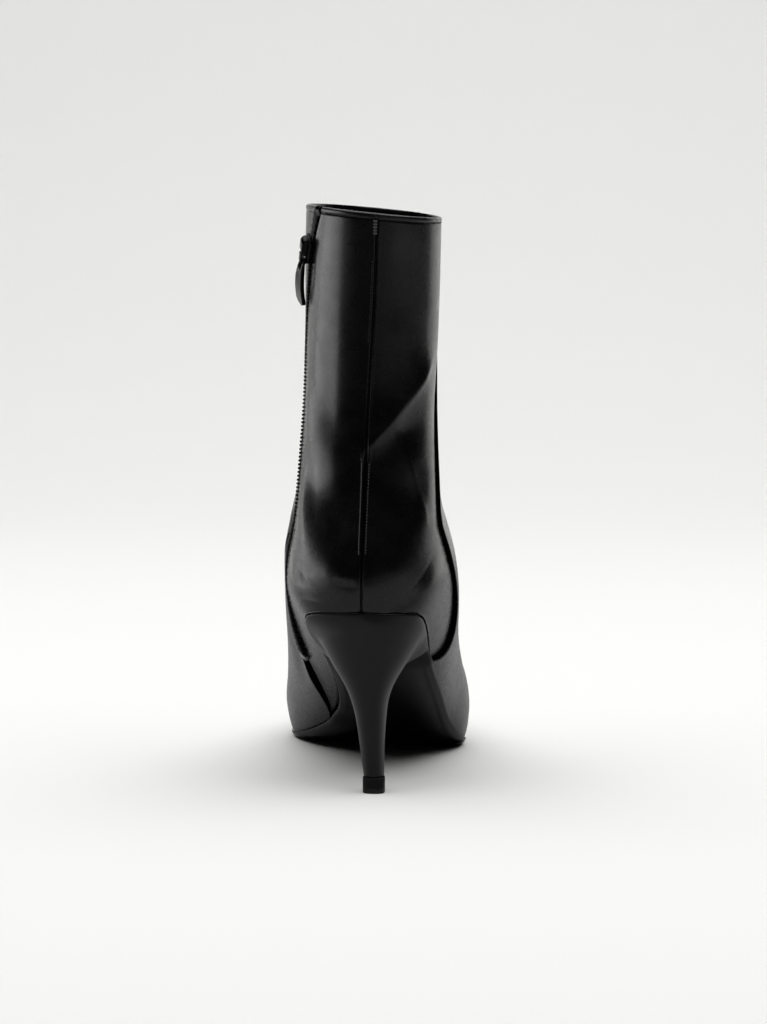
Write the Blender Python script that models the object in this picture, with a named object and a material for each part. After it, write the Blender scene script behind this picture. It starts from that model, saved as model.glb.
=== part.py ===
"""Ankle boot with a slim high heel and a zip on its inner side, right foot.

The boot stands on the floor at z = 0 with its toe towards +Y and its outer side towards +X.
Lengths are worked out in millimetres and turned into metres as each mesh is made. The origin is
the middle of the heel tip's tread.
"""
import math

import bmesh
import bpy
import numpy as np
from mathutils import Matrix

MM = 0.001

# Driving sizes of the last and the shaft
LENGTH = 243.0
BALL_WIDTH = 82.0
HEEL_HEIGHT = 77.5
TOP_HEIGHT = 240.0
HEEL_SET = 20.0
COLLAR_SLOPE = 0.10
TUCK_LEAST = 60.0
TUCK_MORE = 30.0

# Leather, lap and the clearance between pieces
WALL = 1.8
LAP = 1.7
LAP_FADE = 0.35
ZIP_PARE = 1.3
PARE_SPAN = (0.13, 0.20)
PARE_REACH = 0.16
FRONT_LINING = 0.3
LINING_BLEND = 0.25
GAP = 0.3
MERGE = 0.002
NUDGE = 0.004

# Sole, insole and heel tip
SOLE_THICKNESS = 4.4
SOLE_EDGE = 1.7
SOLE_ROUND = 9.0
WAIST_THICKNESS = 2.6
WAIST_SPAN = (4.5, 5.7)
WAIST_DOME = 2.6
DOME_SPAN = (3.7, 5.7)
SOLE_LIP = 0.9
SOLE_BEVEL = 0.9
SOLE_TIP = 0.06
SOLE_END = 7.31
LIP_SPAN = (6.0, SOLE_END)
HEEL_FRONT = 7.32
INSOLE_THICKNESS = 1.8
INSOLE_TIP = 0.8
INSOLE_BACK = 9.88
TIP_HEIGHT = 6.5
TIP_HALF_WIDTH = 4.6
TIP_HALF_LENGTH = 5.2
TIP_ROUND = 0.62
TIP_BEVEL = 0.4

# Zip
SLOT_WIDTH = 6.6
ZIP_END = 0.185
STOP_END = 0.201
CHAIN_PROUD = 0.7
CHAIN_DEPTH = 1.3
SLIDER_AT = 0.914

# Rows of the upper's wall, as shares from the feather line to the collar, closest at the toe
LOW_ROWS = 9
HIGH_ROWS = 27
UPPER_ROWS = [ZIP_END * (step / LOW_ROWS) ** 1.5 for step in range(LOW_ROWS)]
UPPER_ROWS += [ZIP_END + (1.0 - ZIP_END) * step / HIGH_ROWS for step in range(HIGH_ROWS + 1)]

# Columns of the upper's wall: a quarter's, closest at the back seam, and half the front piece's
QUARTER_COLUMNS = 10
FRONT_COLUMNS = 13
SEAM_SPACING = 1.4

# Slider and pull, measured across the zip, along it and out from the upper's surface
SLIDER_LENGTH = 12.4
SLIDER_TOP_WIDTH = 9.0
SLIDER_FOOT_WIDTH = 6.6
NECK_WIDTH = 4.4
NECK_INSET = 1.2
PLATE_FLOOR = 1.35
PLATE_THICKNESS = 1.2
PLATE_CORNER = 1.6
BRIDGE_WIDTH = 2.4
BRIDGE_OPENING = 1.5
BRIDGE_THICKNESS = 0.9
BRIDGE_ENDS = (-6.0, 4.6)
BRIDGE_LEG = 0.8
BRIDGE_SHOULDER = 0.9
BRIDGE_RISE = 2.6
BRIDGE_ROUND = 0.2
HINGE_ALONG = -4.5
EYE_BAR = 1.0
EYE_HALF_WIDTH = 1.7
EYE_LENGTH = 6.5
PULL_LENGTH = 18.2
PULL_NECK_HALF = 2.9
PULL_END_HALF = 3.7
PULL_TIP = 2.0
PULL_TIP_TAPER = 0.4
PULL_THICKNESS = 1.8
PULL_BOW = 1.0
PULL_LEAN = 0.9

# Sections of the foot. Along is a share of LENGTH from the back of the boot, lift a share of
# HEEL_HEIGHT, half widths, feather line and swing shares of half the BALL_WIDTH. Widest is how far
# up the section its widest point lies, and skew how far the section's inner side runs ahead.
FOOT_COLUMNS = (
    "low_along", "low_lift", "high_along", "high_lift",
    "inner", "outer", "widest", "feather_in", "feather_out", "swing", "skew",
)
FOOT_SECTIONS = (
    (1.000, 0.150, 1.000, 0.150, 0.000, 0.000, 0.32, 0.000, 0.000, -0.220, 0.00),
    (0.978, 0.130, 0.974, 0.300, 0.225, 0.225, 0.32, 0.195, 0.195, -0.212, 0.04),
    (0.900, 0.092, 0.882, 0.435, 0.455, 0.455, 0.31, 0.410, 0.410, -0.195, 0.16),
    (0.764, 0.056, 0.745, 0.570, 0.790, 0.745, 0.27, 0.735, 0.700, -0.171, 0.36),
    (0.605, 0.050, 0.600, 0.755, 0.972, 0.950, 0.23, 0.900, 0.905, -0.129, 0.46),
    (0.465, 0.218, 0.523, 0.975, 0.925, 0.895, 0.29, 0.475, 0.785, -0.110, 0.34),
    (0.337, 0.436, 0.465, 1.220, 0.882, 0.850, 0.38, 0.345, 0.695, -0.098, 0.14),
    (0.214, 0.665, 0.424, 1.450, 0.872, 0.858, 0.42, 0.440, 0.622, -0.085, 0.03),
    (0.103, 0.903, 0.399, 1.645, 0.842, 0.805, 0.42, 0.610, 0.600, -0.088, 0.00),
    (0.037, 0.982, 0.387, 1.785, 0.788, 0.755, 0.43, 0.440, 0.440, -0.095, 0.00),
    (0.008, 1.000, 0.380, 1.900, 0.750, 0.730, 0.44, 0.000, 0.000, -0.100, 0.00),
)

# Sections of the leg, continuing from the back of the heel. Rise is a share of the height between
# the heel seat and the collar.
LEG_COLUMNS = (
    "low_along", "low_rise", "high_along", "high_rise", "inner", "outer", "widest", "swing",
)
LEG_SECTIONS = (
    (0.001, 0.032, 0.377, 0.450, 0.726, 0.712, 0.445, -0.098),
    (-0.001, 0.125, 0.374, 0.494, 0.700, 0.694, 0.45, -0.093),
    (0.035, 0.372, 0.370, 0.600, 0.668, 0.652, 0.46, -0.073),
    (0.043, 0.568, 0.372, 0.726, 0.660, 0.662, 0.47, -0.054),
    (0.033, 0.788, 0.381, 0.866, 0.658, 0.672, 0.47, -0.037),
    (0.012, 1.000, 0.391, 1.000, 0.648, 0.678, 0.48, -0.027),
)
HEEL_BACK = len(FOOT_SECTIONS) - 1
COLLAR = HEEL_BACK + len(LEG_SECTIONS)

# Lines on the last where the front piece laps over the quarters, from the feather line to the
# collar: section number, share of the half girth from the ridge (inner side negative).
INNER_LAP = (
    (5.0, -1.000), (5.8, -0.865), (6.5, -0.735), (7.3, -0.588), (8.3, -0.505), (9.6, -0.484),
    (11.5, -0.484), (13.0, -0.491), (14.0, -0.507), (14.8, -0.545), (15.4, -0.596), (16.0, -0.675),
)
OUTER_LAP = (
    (7.0, 1.000), (6.85, 0.900), (6.75, 0.760), (6.85, 0.615), (7.3, 0.530), (8.2, 0.495),
    (9.5, 0.487), (11.0, 0.482), (12.5, 0.455), (13.7, 0.390), (14.9, 0.295), (16.0, 0.200),
)

# Heel sections at even heights from the tip joint to the seat, in shares of the heel height:
# half width to the inner and the outer side, back and front.
HEEL_COLUMNS = ("inner", "outer", "back", "front")
HEEL_SECTIONS = (
    (0.056, 0.054, -0.066, 0.067),
    (0.076, 0.056, -0.071, 0.076),
    (0.099, 0.065, -0.085, 0.095),
    (0.147, 0.093, -0.111, 0.137),
    (0.238, 0.181, -0.150, 0.217),
    (0.321, 0.272, -0.196, 0.348),
    (0.387, 0.310, -0.239, 0.542),
)
HEEL_CORNER = math.radians(115.0)
HEEL_LEVELS = 15
HEEL_SIDE_STEPS = 11
HEEL_BREAST_STEPS = 8
SEAT_BLEND = 0.16

for thing in list(bpy.data.objects):
    bpy.data.objects.remove(thing)


def smooth_slopes(values, flat_start=False):
    """Slopes of the smooth cubic curve through values one step apart."""
    count = len(values)
    system = np.eye(count) * 4.0
    system += np.eye(count, k=1) + np.eye(count, k=-1)
    system[0, 0] = system[-1, -1] = 2.0
    target = np.zeros(count)
    target[1:-1] = 3.0 * (values[2:] - values[:-2])
    target[0] = 3.0 * (values[1] - values[0])
    target[-1] = 3.0 * (values[-1] - values[-2])
    if flat_start:
        system[0, :2] = (1.0, 0.0)
        target[0] = 0.0
    return np.linalg.solve(system, target)


def ease(share):
    """Smooth step from 0 to 1."""
    share = np.clip(share, 0.0, 1.0)
    return share * share * (3.0 - 2.0 * share)


def ease_over(value, span):
    """Smooth step as a value runs from the start of a span to its end."""
    return ease((value - span[0]) / (span[1] - span[0]))


class Curve:
    """Smooth curve through a column of numbers, read at any row position."""

    def __init__(self, values, flat_start=False):
        self.values = np.array(values, dtype=float)
        self.slopes = smooth_slopes(self.values, flat_start)

    def __call__(self, at):
        at = np.clip(np.asarray(at, dtype=float), 0.0, len(self.values) - 1.0)
        row = np.minimum(at.astype(int), len(self.values) - 2)
        f = at - row
        start, end = self.values[row], self.values[row + 1]
        leave, arrive = self.slopes[row], self.slopes[row + 1]
        rise = end - start
        return start + f * (leave + f * (3 * rise - 2 * leave - arrive + f * (leave + arrive - 2 * rise)))


def last_columns():
    """One curve for each column of the two section tables, in millimetres."""
    foot = {name: np.array(column) for name, column in zip(FOOT_COLUMNS, zip(*FOOT_SECTIONS))}
    leg = {name: np.array(column) for name, column in zip(LEG_COLUMNS, zip(*LEG_SECTIONS))}
    half = BALL_WIDTH / 2
    leg_height = TOP_HEIGHT - HEEL_HEIGHT
    columns = {}
    for end in ("low", "high"):
        along = np.concatenate((foot[end + "_along"], leg[end + "_along"])) * LENGTH - HEEL_SET
        height = np.concatenate(
            (foot[end + "_lift"] * HEEL_HEIGHT, HEEL_HEIGHT + leg[end + "_rise"] * leg_height)
        )
        columns[end + "_y"] = Curve(along, flat_start=True)
        columns[end + "_z"] = Curve(height)
    for name in ("inner", "outer", "swing"):
        columns[name] = Curve(np.concatenate((foot[name], leg[name])) * half)
    columns["widest"] = Curve(np.concatenate((foot["widest"], leg["widest"])))
    for name in ("feather_in", "feather_out"):
        columns[name] = Curve(foot[name] * half)
    columns["skew"] = Curve(foot["skew"])
    return columns


LAST = last_columns()


def last_point(section, around):
    """Points of the last's surface. Around runs from -1 at the inner feather line or back seam,
    over the ridge at 0, to 1 on the outer side."""
    section = np.asarray(section, dtype=float)
    around = np.asarray(around, dtype=float)
    inner_side = around < 0
    half = np.where(inner_side, LAST["inner"](section), LAST["outer"](section))
    feather = np.where(inner_side, LAST["feather_in"](section), LAST["feather_out"](section))
    feather = np.where(section < HEEL_BACK, feather, 0.0)
    half = np.maximum(half, 1e-6)
    widest = LAST["widest"](section)
    share = np.abs(around)
    over = np.minimum(share, 0.5) * math.pi
    tuck = np.radians(TUCK_LEAST + TUCK_MORE * (1.0 - feather / half))
    under = np.maximum(2.0 * share - 1.0, 0.0) * tuck
    below = feather + (half - feather) * (np.cos(under) - np.cos(tuck)) / (1.0 - np.cos(tuck))
    out = np.where(share <= 0.5, half * np.sin(over), below)
    up = np.where(
        share <= 0.5,
        widest + (1.0 - widest) * np.cos(over),
        widest * (1.0 - np.sin(under) / np.sin(tuck)),
    )
    low_y, low_z = LAST["low_y"](section), LAST["low_z"](section)
    aside = np.sign(around) * out
    ahead = LAST["skew"](section) * np.minimum(aside, 0.0) ** 2 / half
    y = low_y + up * (LAST["high_y"](section) - low_y) + ahead
    z = low_z + up * (LAST["high_z"](section) - low_z)
    z = z - COLLAR_SLOPE * aside * ease((section - HEEL_BACK) / (COLLAR - HEEL_BACK))
    return np.stack((LAST["swing"](section) + aside, y, z), axis=-1)


def skin(section, around, offset=0.0):
    """Points at a distance outside (or, negative, inside) the last's surface."""
    section = np.clip(np.asarray(section, dtype=float), 0.02, COLLAR)
    around = np.clip(np.asarray(around, dtype=float), -1.0, 1.0)
    closed = section >= HEEL_BACK
    before = np.where(closed, np.maximum(section - NUDGE, HEEL_BACK), section - NUDGE)
    along = last_point(np.minimum(section + NUDGE, COLLAR), around) - last_point(before, around)
    ahead, behind = around + NUDGE, around - NUDGE
    ahead = np.where(ahead > 1.0, np.where(closed, ahead - 2.0, 1.0), ahead)
    behind = np.where(behind < -1.0, np.where(closed, behind + 2.0, -1.0), behind)
    normal = np.cross(along, last_point(section, ahead) - last_point(section, behind))
    normal /= np.maximum(np.linalg.norm(normal, axis=-1, keepdims=True), 1e-12)
    return last_point(section, around) + normal * np.asarray(offset, dtype=float)[..., None]


# The last laid out flat: height is the distance along the ridge from the toe, and width the
# distance around the section from the ridge.
FLAT_STEPS = np.linspace(0.0, COLLAR, 301)


def flat_tables():
    ridge = last_point(FLAT_STEPS, np.zeros_like(FLAT_STEPS))
    height = np.concatenate(([0.0], np.cumsum(np.linalg.norm(np.diff(ridge, axis=0), axis=1))))
    girths = []
    for side in (-1.0, 1.0):
        around = np.linspace(0.0, side, 41)
        grid = last_point(FLAT_STEPS[:, None], around[None, :])
        girths.append(np.linalg.norm(np.diff(grid, axis=1), axis=2).sum(axis=1))
    return height, girths[0], girths[1]


RIDGE_LENGTH, INNER_GIRTH, OUTER_GIRTH = flat_tables()


def to_flat(section, around):
    girth = np.where(
        np.asarray(around) < 0,
        np.interp(section, FLAT_STEPS, INNER_GIRTH),
        np.interp(section, FLAT_STEPS, OUTER_GIRTH),
    )
    return np.stack((around * girth, np.interp(section, FLAT_STEPS, RIDGE_LENGTH)), axis=-1)


def from_flat(point):
    section = np.interp(point[..., 1], RIDGE_LENGTH, FLAT_STEPS)
    girth = np.where(
        point[..., 0] < 0,
        np.interp(section, FLAT_STEPS, INNER_GIRTH),
        np.interp(section, FLAT_STEPS, OUTER_GIRTH),
    )
    around = np.clip(point[..., 0] / np.maximum(girth, 1e-6), -1.0, 1.0)
    return section, around


def flat_line(rows):
    """A line on the last, laid flat and read by the share of its length."""
    section, around = (Curve(column) for column in zip(*rows))
    at = np.linspace(0.0, len(rows) - 1.0, 201)
    points = to_flat(section(at), around(at))
    run = np.concatenate(([0.0], np.cumsum(np.linalg.norm(np.diff(points, axis=0), axis=1))))
    run /= run[-1]
    return lambda share: np.stack(
        (np.interp(share, run, points[:, 0]), np.interp(share, run, points[:, 1])), axis=-1
    )


def straight_line(start, end):
    """A line of even steps between two (section, around) places on the last."""
    rows = np.linspace(start, end, 41)
    return lambda share: to_flat(
        np.interp(share, np.linspace(0, 1, 41), rows[:, 0]),
        np.interp(share, np.linspace(0, 1, 41), rows[:, 1]),
    )


inner_lap = flat_line(INNER_LAP)
outer_lap = flat_line(OUTER_LAP)


def quarter_edge(share):
    """Edge of the inner quarter, set back from the lap by the zip's slot."""
    set_back = SLOT_WIDTH * ease(np.asarray(share) / ZIP_END)
    return inner_lap(share) - np.stack((set_back, np.zeros_like(set_back)), axis=-1)


def coons(left, right, bottom, top):
    """Panel between four lines: across from left to right, up from bottom to top."""

    def place(across, up):
        across, up = np.broadcast_arrays(np.asarray(across, float), np.asarray(up, float))
        a, b = across[..., None], up[..., None]
        zero, one = np.zeros_like(across), np.ones_like(across)
        sides = (1 - a) * left(up) + a * right(up) + (1 - b) * bottom(across) + b * top(across)
        corners = (1 - b) * ((1 - a) * bottom(zero) + a * bottom(one))
        corners = corners + b * ((1 - a) * top(zero) + a * top(one))
        return from_flat(sides - corners)

    return place


def strip(left, right):
    def place(across, up):
        across, up = np.broadcast_arrays(np.asarray(across, float), np.asarray(up, float))
        a = across[..., None]
        return from_flat((1 - a) * left(up) + a * right(up))

    return place


def panels():
    """The pattern pieces of the upper, from the back seam round the inner side."""
    zip_foot, inner_top = INNER_LAP[0][0], INNER_LAP[-1][1]
    outer_foot, outer_top = OUTER_LAP[0][0], OUTER_LAP[-1][1]
    quarter_top = from_flat(quarter_edge(np.array(1.0)))[1]
    ridge = flat_line([(row, 0.0) for row in range(COLLAR + 1)])
    inner_quarter = coons(
        straight_line((HEEL_BACK, -1.0), (COLLAR, -1.0)), quarter_edge,
        straight_line((HEEL_BACK, -1.0), (zip_foot, -1.0)),
        straight_line((COLLAR, -1.0), (COLLAR, quarter_top)),
    )
    inner_front = coons(
        inner_lap, ridge,
        straight_line((zip_foot, -1.0), (0.0, -1.0)),
        straight_line((COLLAR, inner_top), (COLLAR, 0.0)),
    )
    outer_front = coons(
        ridge, outer_lap,
        straight_line((0.0, 1.0), (outer_foot, 1.0)),
        straight_line((COLLAR, 0.0), (COLLAR, outer_top)),
    )
    outer_quarter = coons(
        outer_lap, straight_line((HEEL_BACK, 1.0), (COLLAR, 1.0)),
        straight_line((outer_foot, 1.0), (HEEL_BACK, 1.0)),
        straight_line((COLLAR, outer_top), (COLLAR, 1.0)),
    )
    return inner_quarter, strip(quarter_edge, inner_lap), inner_front, outer_front, outer_quarter


INNER_QUARTER, ZIP_STRIP, INNER_FRONT, OUTER_FRONT, OUTER_QUARTER = panels()


def material(name, colour, roughness, metallic=0.0):
    made = bpy.data.materials.new(name)
    made.use_nodes = True
    shader = made.node_tree.nodes["Principled BSDF"]
    shader.inputs["Base Color"].default_value = (*colour, 1.0)
    shader.inputs["Roughness"].default_value = roughness
    shader.inputs["Metallic"].default_value = metallic
    return made


def finish(name, bm, finish_material, sharp_angle=35.0):
    """Close up a bmesh in millimetres and add it to the scene in metres."""
    bmesh.ops.remove_doubles(bm, verts=bm.verts[:], dist=MERGE)
    bmesh.ops.recalc_face_normals(bm, faces=bm.faces[:])
    bmesh.ops.scale(bm, vec=(MM, MM, MM), verts=bm.verts[:])
    mesh = bpy.data.meshes.new(name)
    bm.to_mesh(mesh)
    bm.free()
    mesh.shade_smooth()
    mesh.set_sharp_from_angle(angle=math.radians(sharp_angle))
    mesh.materials.append(finish_material)
    piece = bpy.data.objects.new(name, mesh)
    bpy.context.collection.objects.link(piece)
    return piece


def shell(outer, inner, cut=None):
    """Closed solid between two grids of points, with the faces that cut names left open. Columns
    of the grid that lie on each other are joined, so a grid can close on itself."""
    rows, columns = outer.shape[0] - 1, outer.shape[1] - 1
    bm = bmesh.new()
    bmesh.ops.create_grid(bm, x_segments=columns, y_segments=rows, size=1.0)
    row_of = bm.verts.layers.int.new("row")
    column_of = bm.verts.layers.int.new("column")
    for vertex in bm.verts:
        vertex[row_of] = round((vertex.co.y + 1) / 2 * rows)
        vertex[column_of] = round((vertex.co.x + 1) / 2 * columns)
    if cut:
        gone = []
        for face in bm.faces:
            row = min(vertex[row_of] for vertex in face.verts)
            column = min(vertex[column_of] for vertex in face.verts)
            if cut(row, column):
                gone.append(face)
        bmesh.ops.delete(bm, geom=gone, context="FACES")
    for vertex in bm.verts:
        vertex.co = outer[vertex[row_of], vertex[column_of]]
    bmesh.ops.remove_doubles(bm, verts=bm.verts[:], dist=MERGE)
    wall = bmesh.ops.extrude_face_region(bm, geom=bm.faces[:], use_keep_orig=True)
    for thing in wall["geom"]:
        if isinstance(thing, bmesh.types.BMVert):
            thing.co = inner[thing[row_of], thing[column_of]]
    return bm


def loft(loops):
    """Closed solid through rings of points, with its two ends filled."""
    bm = bmesh.new()
    rings = []
    for loop in loops:
        verts = [bm.verts.new(point) for point in loop]
        rings.append([bm.edges.new((verts[i - 1], verts[i])) for i in range(len(verts))])
    for lower, upper in zip(rings, rings[1:]):
        bmesh.ops.bridge_loops(bm, edges=lower + upper)
    return bm, rings


def build_upper():
    """Quarters, lapped front piece and zip slot as one wall, open at the collar and underneath. The
    front piece's edge is pared thin along the zip."""
    rows = len(UPPER_ROWS)
    up = np.array(UPPER_ROWS)
    from_seam = np.linspace(0.0, 1.0, QUARTER_COLUMNS + 1) ** SEAM_SPACING
    even = np.linspace(0.0, 1.0, FRONT_COLUMNS + 1)
    columns = []
    for panel, spacing, proud in (
        (INNER_QUARTER, from_seam, 0.0), (ZIP_STRIP, (0.0, 1.0), 0.0),
        (INNER_FRONT, even, LAP), (OUTER_FRONT, even, LAP), (OUTER_QUARTER, 1.0 - from_seam[::-1], 0.0),
    ):
        columns += [(panel, across, proud) for across in spacing]
    outer = np.zeros((rows, len(columns), 3))
    inner = np.zeros_like(outer)
    for index, (panel, across, proud) in enumerate(columns):
        section, around = panel(across, up)
        pared = ZIP_PARE * ease_over(up, PARE_SPAN) * (1.0 - ease(across / PARE_REACH))
        outer[:, index] = skin(section, around, proud - pared * (panel is INNER_FRONT))
        near_lap = across if panel is INNER_FRONT else 1.0 - across
        blend = np.clip(near_lap / LINING_BLEND, 0.0, 1.0) if proud else 0.0
        depth = WALL + (FRONT_LINING - WALL) * blend
        inner[:, index] = skin(section, around, np.full(rows, -depth))
    slot_row = UPPER_ROWS.index(ZIP_END)
    slot_columns = (QUARTER_COLUMNS + 1, QUARTER_COLUMNS + 2)
    return shell(outer, inner, cut=lambda row, column: row >= slot_row and column in slot_columns)


def feather_edge(section, side, proud):
    return skin(section, np.full_like(section, side), proud)


def lap_height(section, foot):
    """How proud the upper's lower edge is: the front piece ahead of the lap's foot, then the
    quarter."""
    return LAP * (1.0 - ease((section - foot) / LAP_FADE))


def sole_edge(section, side):
    """Lower edge of the upper, which the sole and the insole follow."""
    foot = INNER_LAP[0][0] if side < 0 else OUTER_LAP[0][0]
    return feather_edge(section, side, lap_height(section, foot))


def build_outsole():
    """Thin sole under the feather line, rounded to its edges, domed in the arch and flat at the
    tread."""
    section = np.concatenate((np.linspace(SOLE_TIP, 1.0, 8)[:-1], np.linspace(1.0, SOLE_END, 24)))
    inner, outer = sole_edge(section, -1.0), sole_edge(section, 1.0)
    across = outer - inner
    width = np.linalg.norm(across, axis=1)
    across /= width[:, None]
    forward = np.zeros_like(across)
    forward[:, 1] = np.clip(1.0 - section, 0.0, 1.0)
    lip = SOLE_LIP * (1.0 - ease_over(section, LIP_SPAN))[:, None]
    top_in = inner + lip * (forward - across)
    top_out = outer + lip * (forward + across)
    thickness = SOLE_THICKNESS + (WAIST_THICKNESS - SOLE_THICKNESS) * ease_over(section, WAIST_SPAN)
    dome_height = WAIST_DOME * ease_over(section, DOME_SPAN)
    share = 0.5 - 0.5 * np.cos(np.linspace(0.0, math.pi, 11))
    top = np.zeros((len(section), len(share), 3))
    bottom = np.zeros_like(top)
    for index, part in enumerate(share):
        inset = SOLE_BEVEL * (1.0 - 2.0 * part)
        top[:, index] = top_in + (top_out - top_in) * part
        top[:, index, 2] -= GAP
        bottom[:, index] = top[:, index] + inset * across - SOLE_BEVEL * forward
        from_edge = np.minimum(part, 1.0 - part) * width / SOLE_ROUND
        round_off = np.sin(np.clip(from_edge, 0.0, 1.0) * math.pi / 2)
        depth = SOLE_EDGE + (thickness - SOLE_EDGE) * round_off + dome_height * math.sin(math.pi * part)
        bottom[:, index, 2] = np.maximum(top[:, index, 2] - depth, 0.0)
    return shell(top, bottom)


def build_insole():
    """Board inside the upper, clear of its wall, lying on the sole and the heel seat."""
    section = np.linspace(INSOLE_TIP, INSOLE_BACK, 30)
    depth = np.full_like(section, -(WALL + 2 * GAP))
    share = np.linspace(0.0, 1.0, 7)
    edges = []
    for side in (-1.0, 1.0):
        edge = skin(section, np.full_like(section, side), depth)
        edge[:, 2] = sole_edge(section, side)[:, 2]
        edges.append(edge)
    inner, outer = edges
    bottom = inner[:, None] + (outer - inner)[:, None] * share[None, :, None]
    return shell(bottom + np.array((0.0, 0.0, INSOLE_THICKNESS)), bottom)


def seat_outline(side_steps, breast_steps):
    """Upper edge of the heel: round the back along the feather line, then across the breast."""
    section = np.linspace(HEEL_BACK, HEEL_FRONT, side_steps + 1)
    outer = feather_edge(section, 1.0, np.zeros_like(section))
    inner = feather_edge(section, -1.0, np.zeros_like(section))[::-1]
    share = np.linspace(0.0, 1.0, breast_steps + 1)[1:-1, None]
    breast = outer[-1] + (inner[0] - outer[-1]) * share
    ring = np.concatenate((outer, breast, inner[:-1]))
    ring[:, 2] -= GAP
    return ring


def heel_section(curves, level, side_steps, breast_steps):
    """Outline of the heel stem, round at the back and flat at the breast. Level has one value for
    each point."""
    turn = np.linspace(0.0, HEEL_CORNER, side_steps + 1)
    share = np.linspace(0.0, 1.0, breast_steps + 1)[1:-1]
    corner = math.sin(HEEL_CORNER)
    x = np.concatenate((np.sin(turn), corner * (1 - 2 * share), -np.sin(turn[::-1][:-1])))
    forward = (1 - np.cos(turn)) / (1 - math.cos(HEEL_CORNER))
    y = np.concatenate((forward, np.ones_like(share), forward[::-1][:-1]))
    half = np.where(x > 0, curves["outer"](level), curves["inner"](level))
    back, front = curves["back"](level), curves["front"](level)
    return x * half * HEEL_HEIGHT, (back + (front - back) * y) * HEEL_HEIGHT


def build_heel():
    """Flared heel: the seat's outline drawn down into a slim stem."""
    curves = {name: Curve(column) for name, column in zip(HEEL_COLUMNS, zip(*HEEL_SECTIONS))}
    seat = seat_outline(HEEL_SIDE_STEPS, HEEL_BREAST_STEPS)
    foot = TIP_HEIGHT + GAP
    loops = []
    for down in np.linspace(0.0, 1.0, HEEL_LEVELS + 1):
        z = seat[:, 2] + (foot - seat[:, 2]) * down
        level = (z - foot) / (HEEL_HEIGHT - foot) * (len(HEEL_SECTIONS) - 1)
        x, y = heel_section(curves, level, HEEL_SIDE_STEPS, HEEL_BREAST_STEPS)
        blend = ease(1.0 - down / SEAT_BLEND)
        loops.append(np.stack((x + (seat[:, 0] - x) * blend, y + (seat[:, 1] - y) * blend, z), axis=1))
    bm, rings = loft(loops)
    top = [edge.verts[1] for edge in rings[0]]
    half = len(top) // 2
    for step in range(half):
        corners = [top[step], top[step + 1], top[-1 - step], top[-step]]
        if step == 0:
            corners = [top[0], top[1], top[-1]]
        elif step == half - 1:
            corners = [top[step], top[step + 1], top[-step]]
        bm.faces.new(corners)
    bmesh.ops.contextual_create(bm, geom=rings[-1])
    return bm


def build_heel_tip():
    """Hard lift under the stem, a little wider than it."""
    turn = np.linspace(0.0, 2.0 * math.pi, 28, endpoint=False)
    x = np.sign(np.sin(turn)) * np.abs(np.sin(turn)) ** TIP_ROUND
    y = -np.sign(np.cos(turn)) * np.abs(np.cos(turn)) ** TIP_ROUND
    loops = []
    for z, inset in (
        (0.0, TIP_BEVEL), (TIP_BEVEL, 0.0), (TIP_HEIGHT - TIP_BEVEL, 0.0), (TIP_HEIGHT, TIP_BEVEL / 2),
    ):
        wide, deep = TIP_HALF_WIDTH - inset, TIP_HALF_LENGTH - inset
        loops.append(np.stack((x * wide, y * deep, np.full_like(x, z)), axis=1))
    bm, rings = loft(loops)
    for ring in (rings[0], rings[-1]):
        bmesh.ops.contextual_create(bm, geom=ring)
    return bm


def zip_piece(start, end):
    """A length of the zip in its slot, clear of both edges, with the rows of the upper's wall."""
    up = np.array([start] + [row for row in UPPER_ROWS if start < row < end] + [end])
    clear = GAP / SLOT_WIDTH
    across = np.linspace(clear, 1.0 - clear, 4)
    section, around = ZIP_STRIP(across[None, :], up[:, None])
    outer = skin(section, around, np.full(section.shape, CHAIN_PROUD))
    inner = skin(section, around, np.full(section.shape, -CHAIN_DEPTH))
    return shell(outer, inner)


def zip_frame(share):
    """Place on the zip: X across it, Y along it towards the collar, Z out from the upper."""
    section, around = ZIP_STRIP(0.5, np.array((share - NUDGE, share, share + NUDGE)))
    centre = skin(section, around)
    along = centre[2] - centre[0]
    along /= np.linalg.norm(along)
    out = skin(section[1], around[1], 1.0) - centre[1]
    out -= along * out.dot(along)
    out /= np.linalg.norm(out)
    frame = Matrix.Identity(4)
    for column, direction in enumerate((np.cross(along, out), along, out, centre[1] * MM)):
        for row in range(3):
            frame[row][column] = direction[row]
    return frame


def prism(outline, depth):
    """Outline in the (along, out) plane, extruded evenly to both sides across the zip."""
    bm = bmesh.new()
    face = bm.faces.new([bm.verts.new((-depth / 2, along, out)) for along, out in outline])
    grown = bmesh.ops.extrude_face_region(bm, geom=[face], use_keep_orig=True)
    moved = [thing for thing in grown["geom"] if isinstance(thing, bmesh.types.BMVert)]
    bmesh.ops.translate(bm, vec=(depth, 0.0, 0.0), verts=moved)
    return bm


def join_to(body, part):
    """Fuse a helper solid into a body with a union, and keep the helper out of sight."""
    part.hide_render = True
    part.display_type = "WIRE"
    union = body.modifiers.new("join_" + part.name, "BOOLEAN")
    union.operation = "UNION"
    union.solver = "EXACT"
    union.object = part


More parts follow.
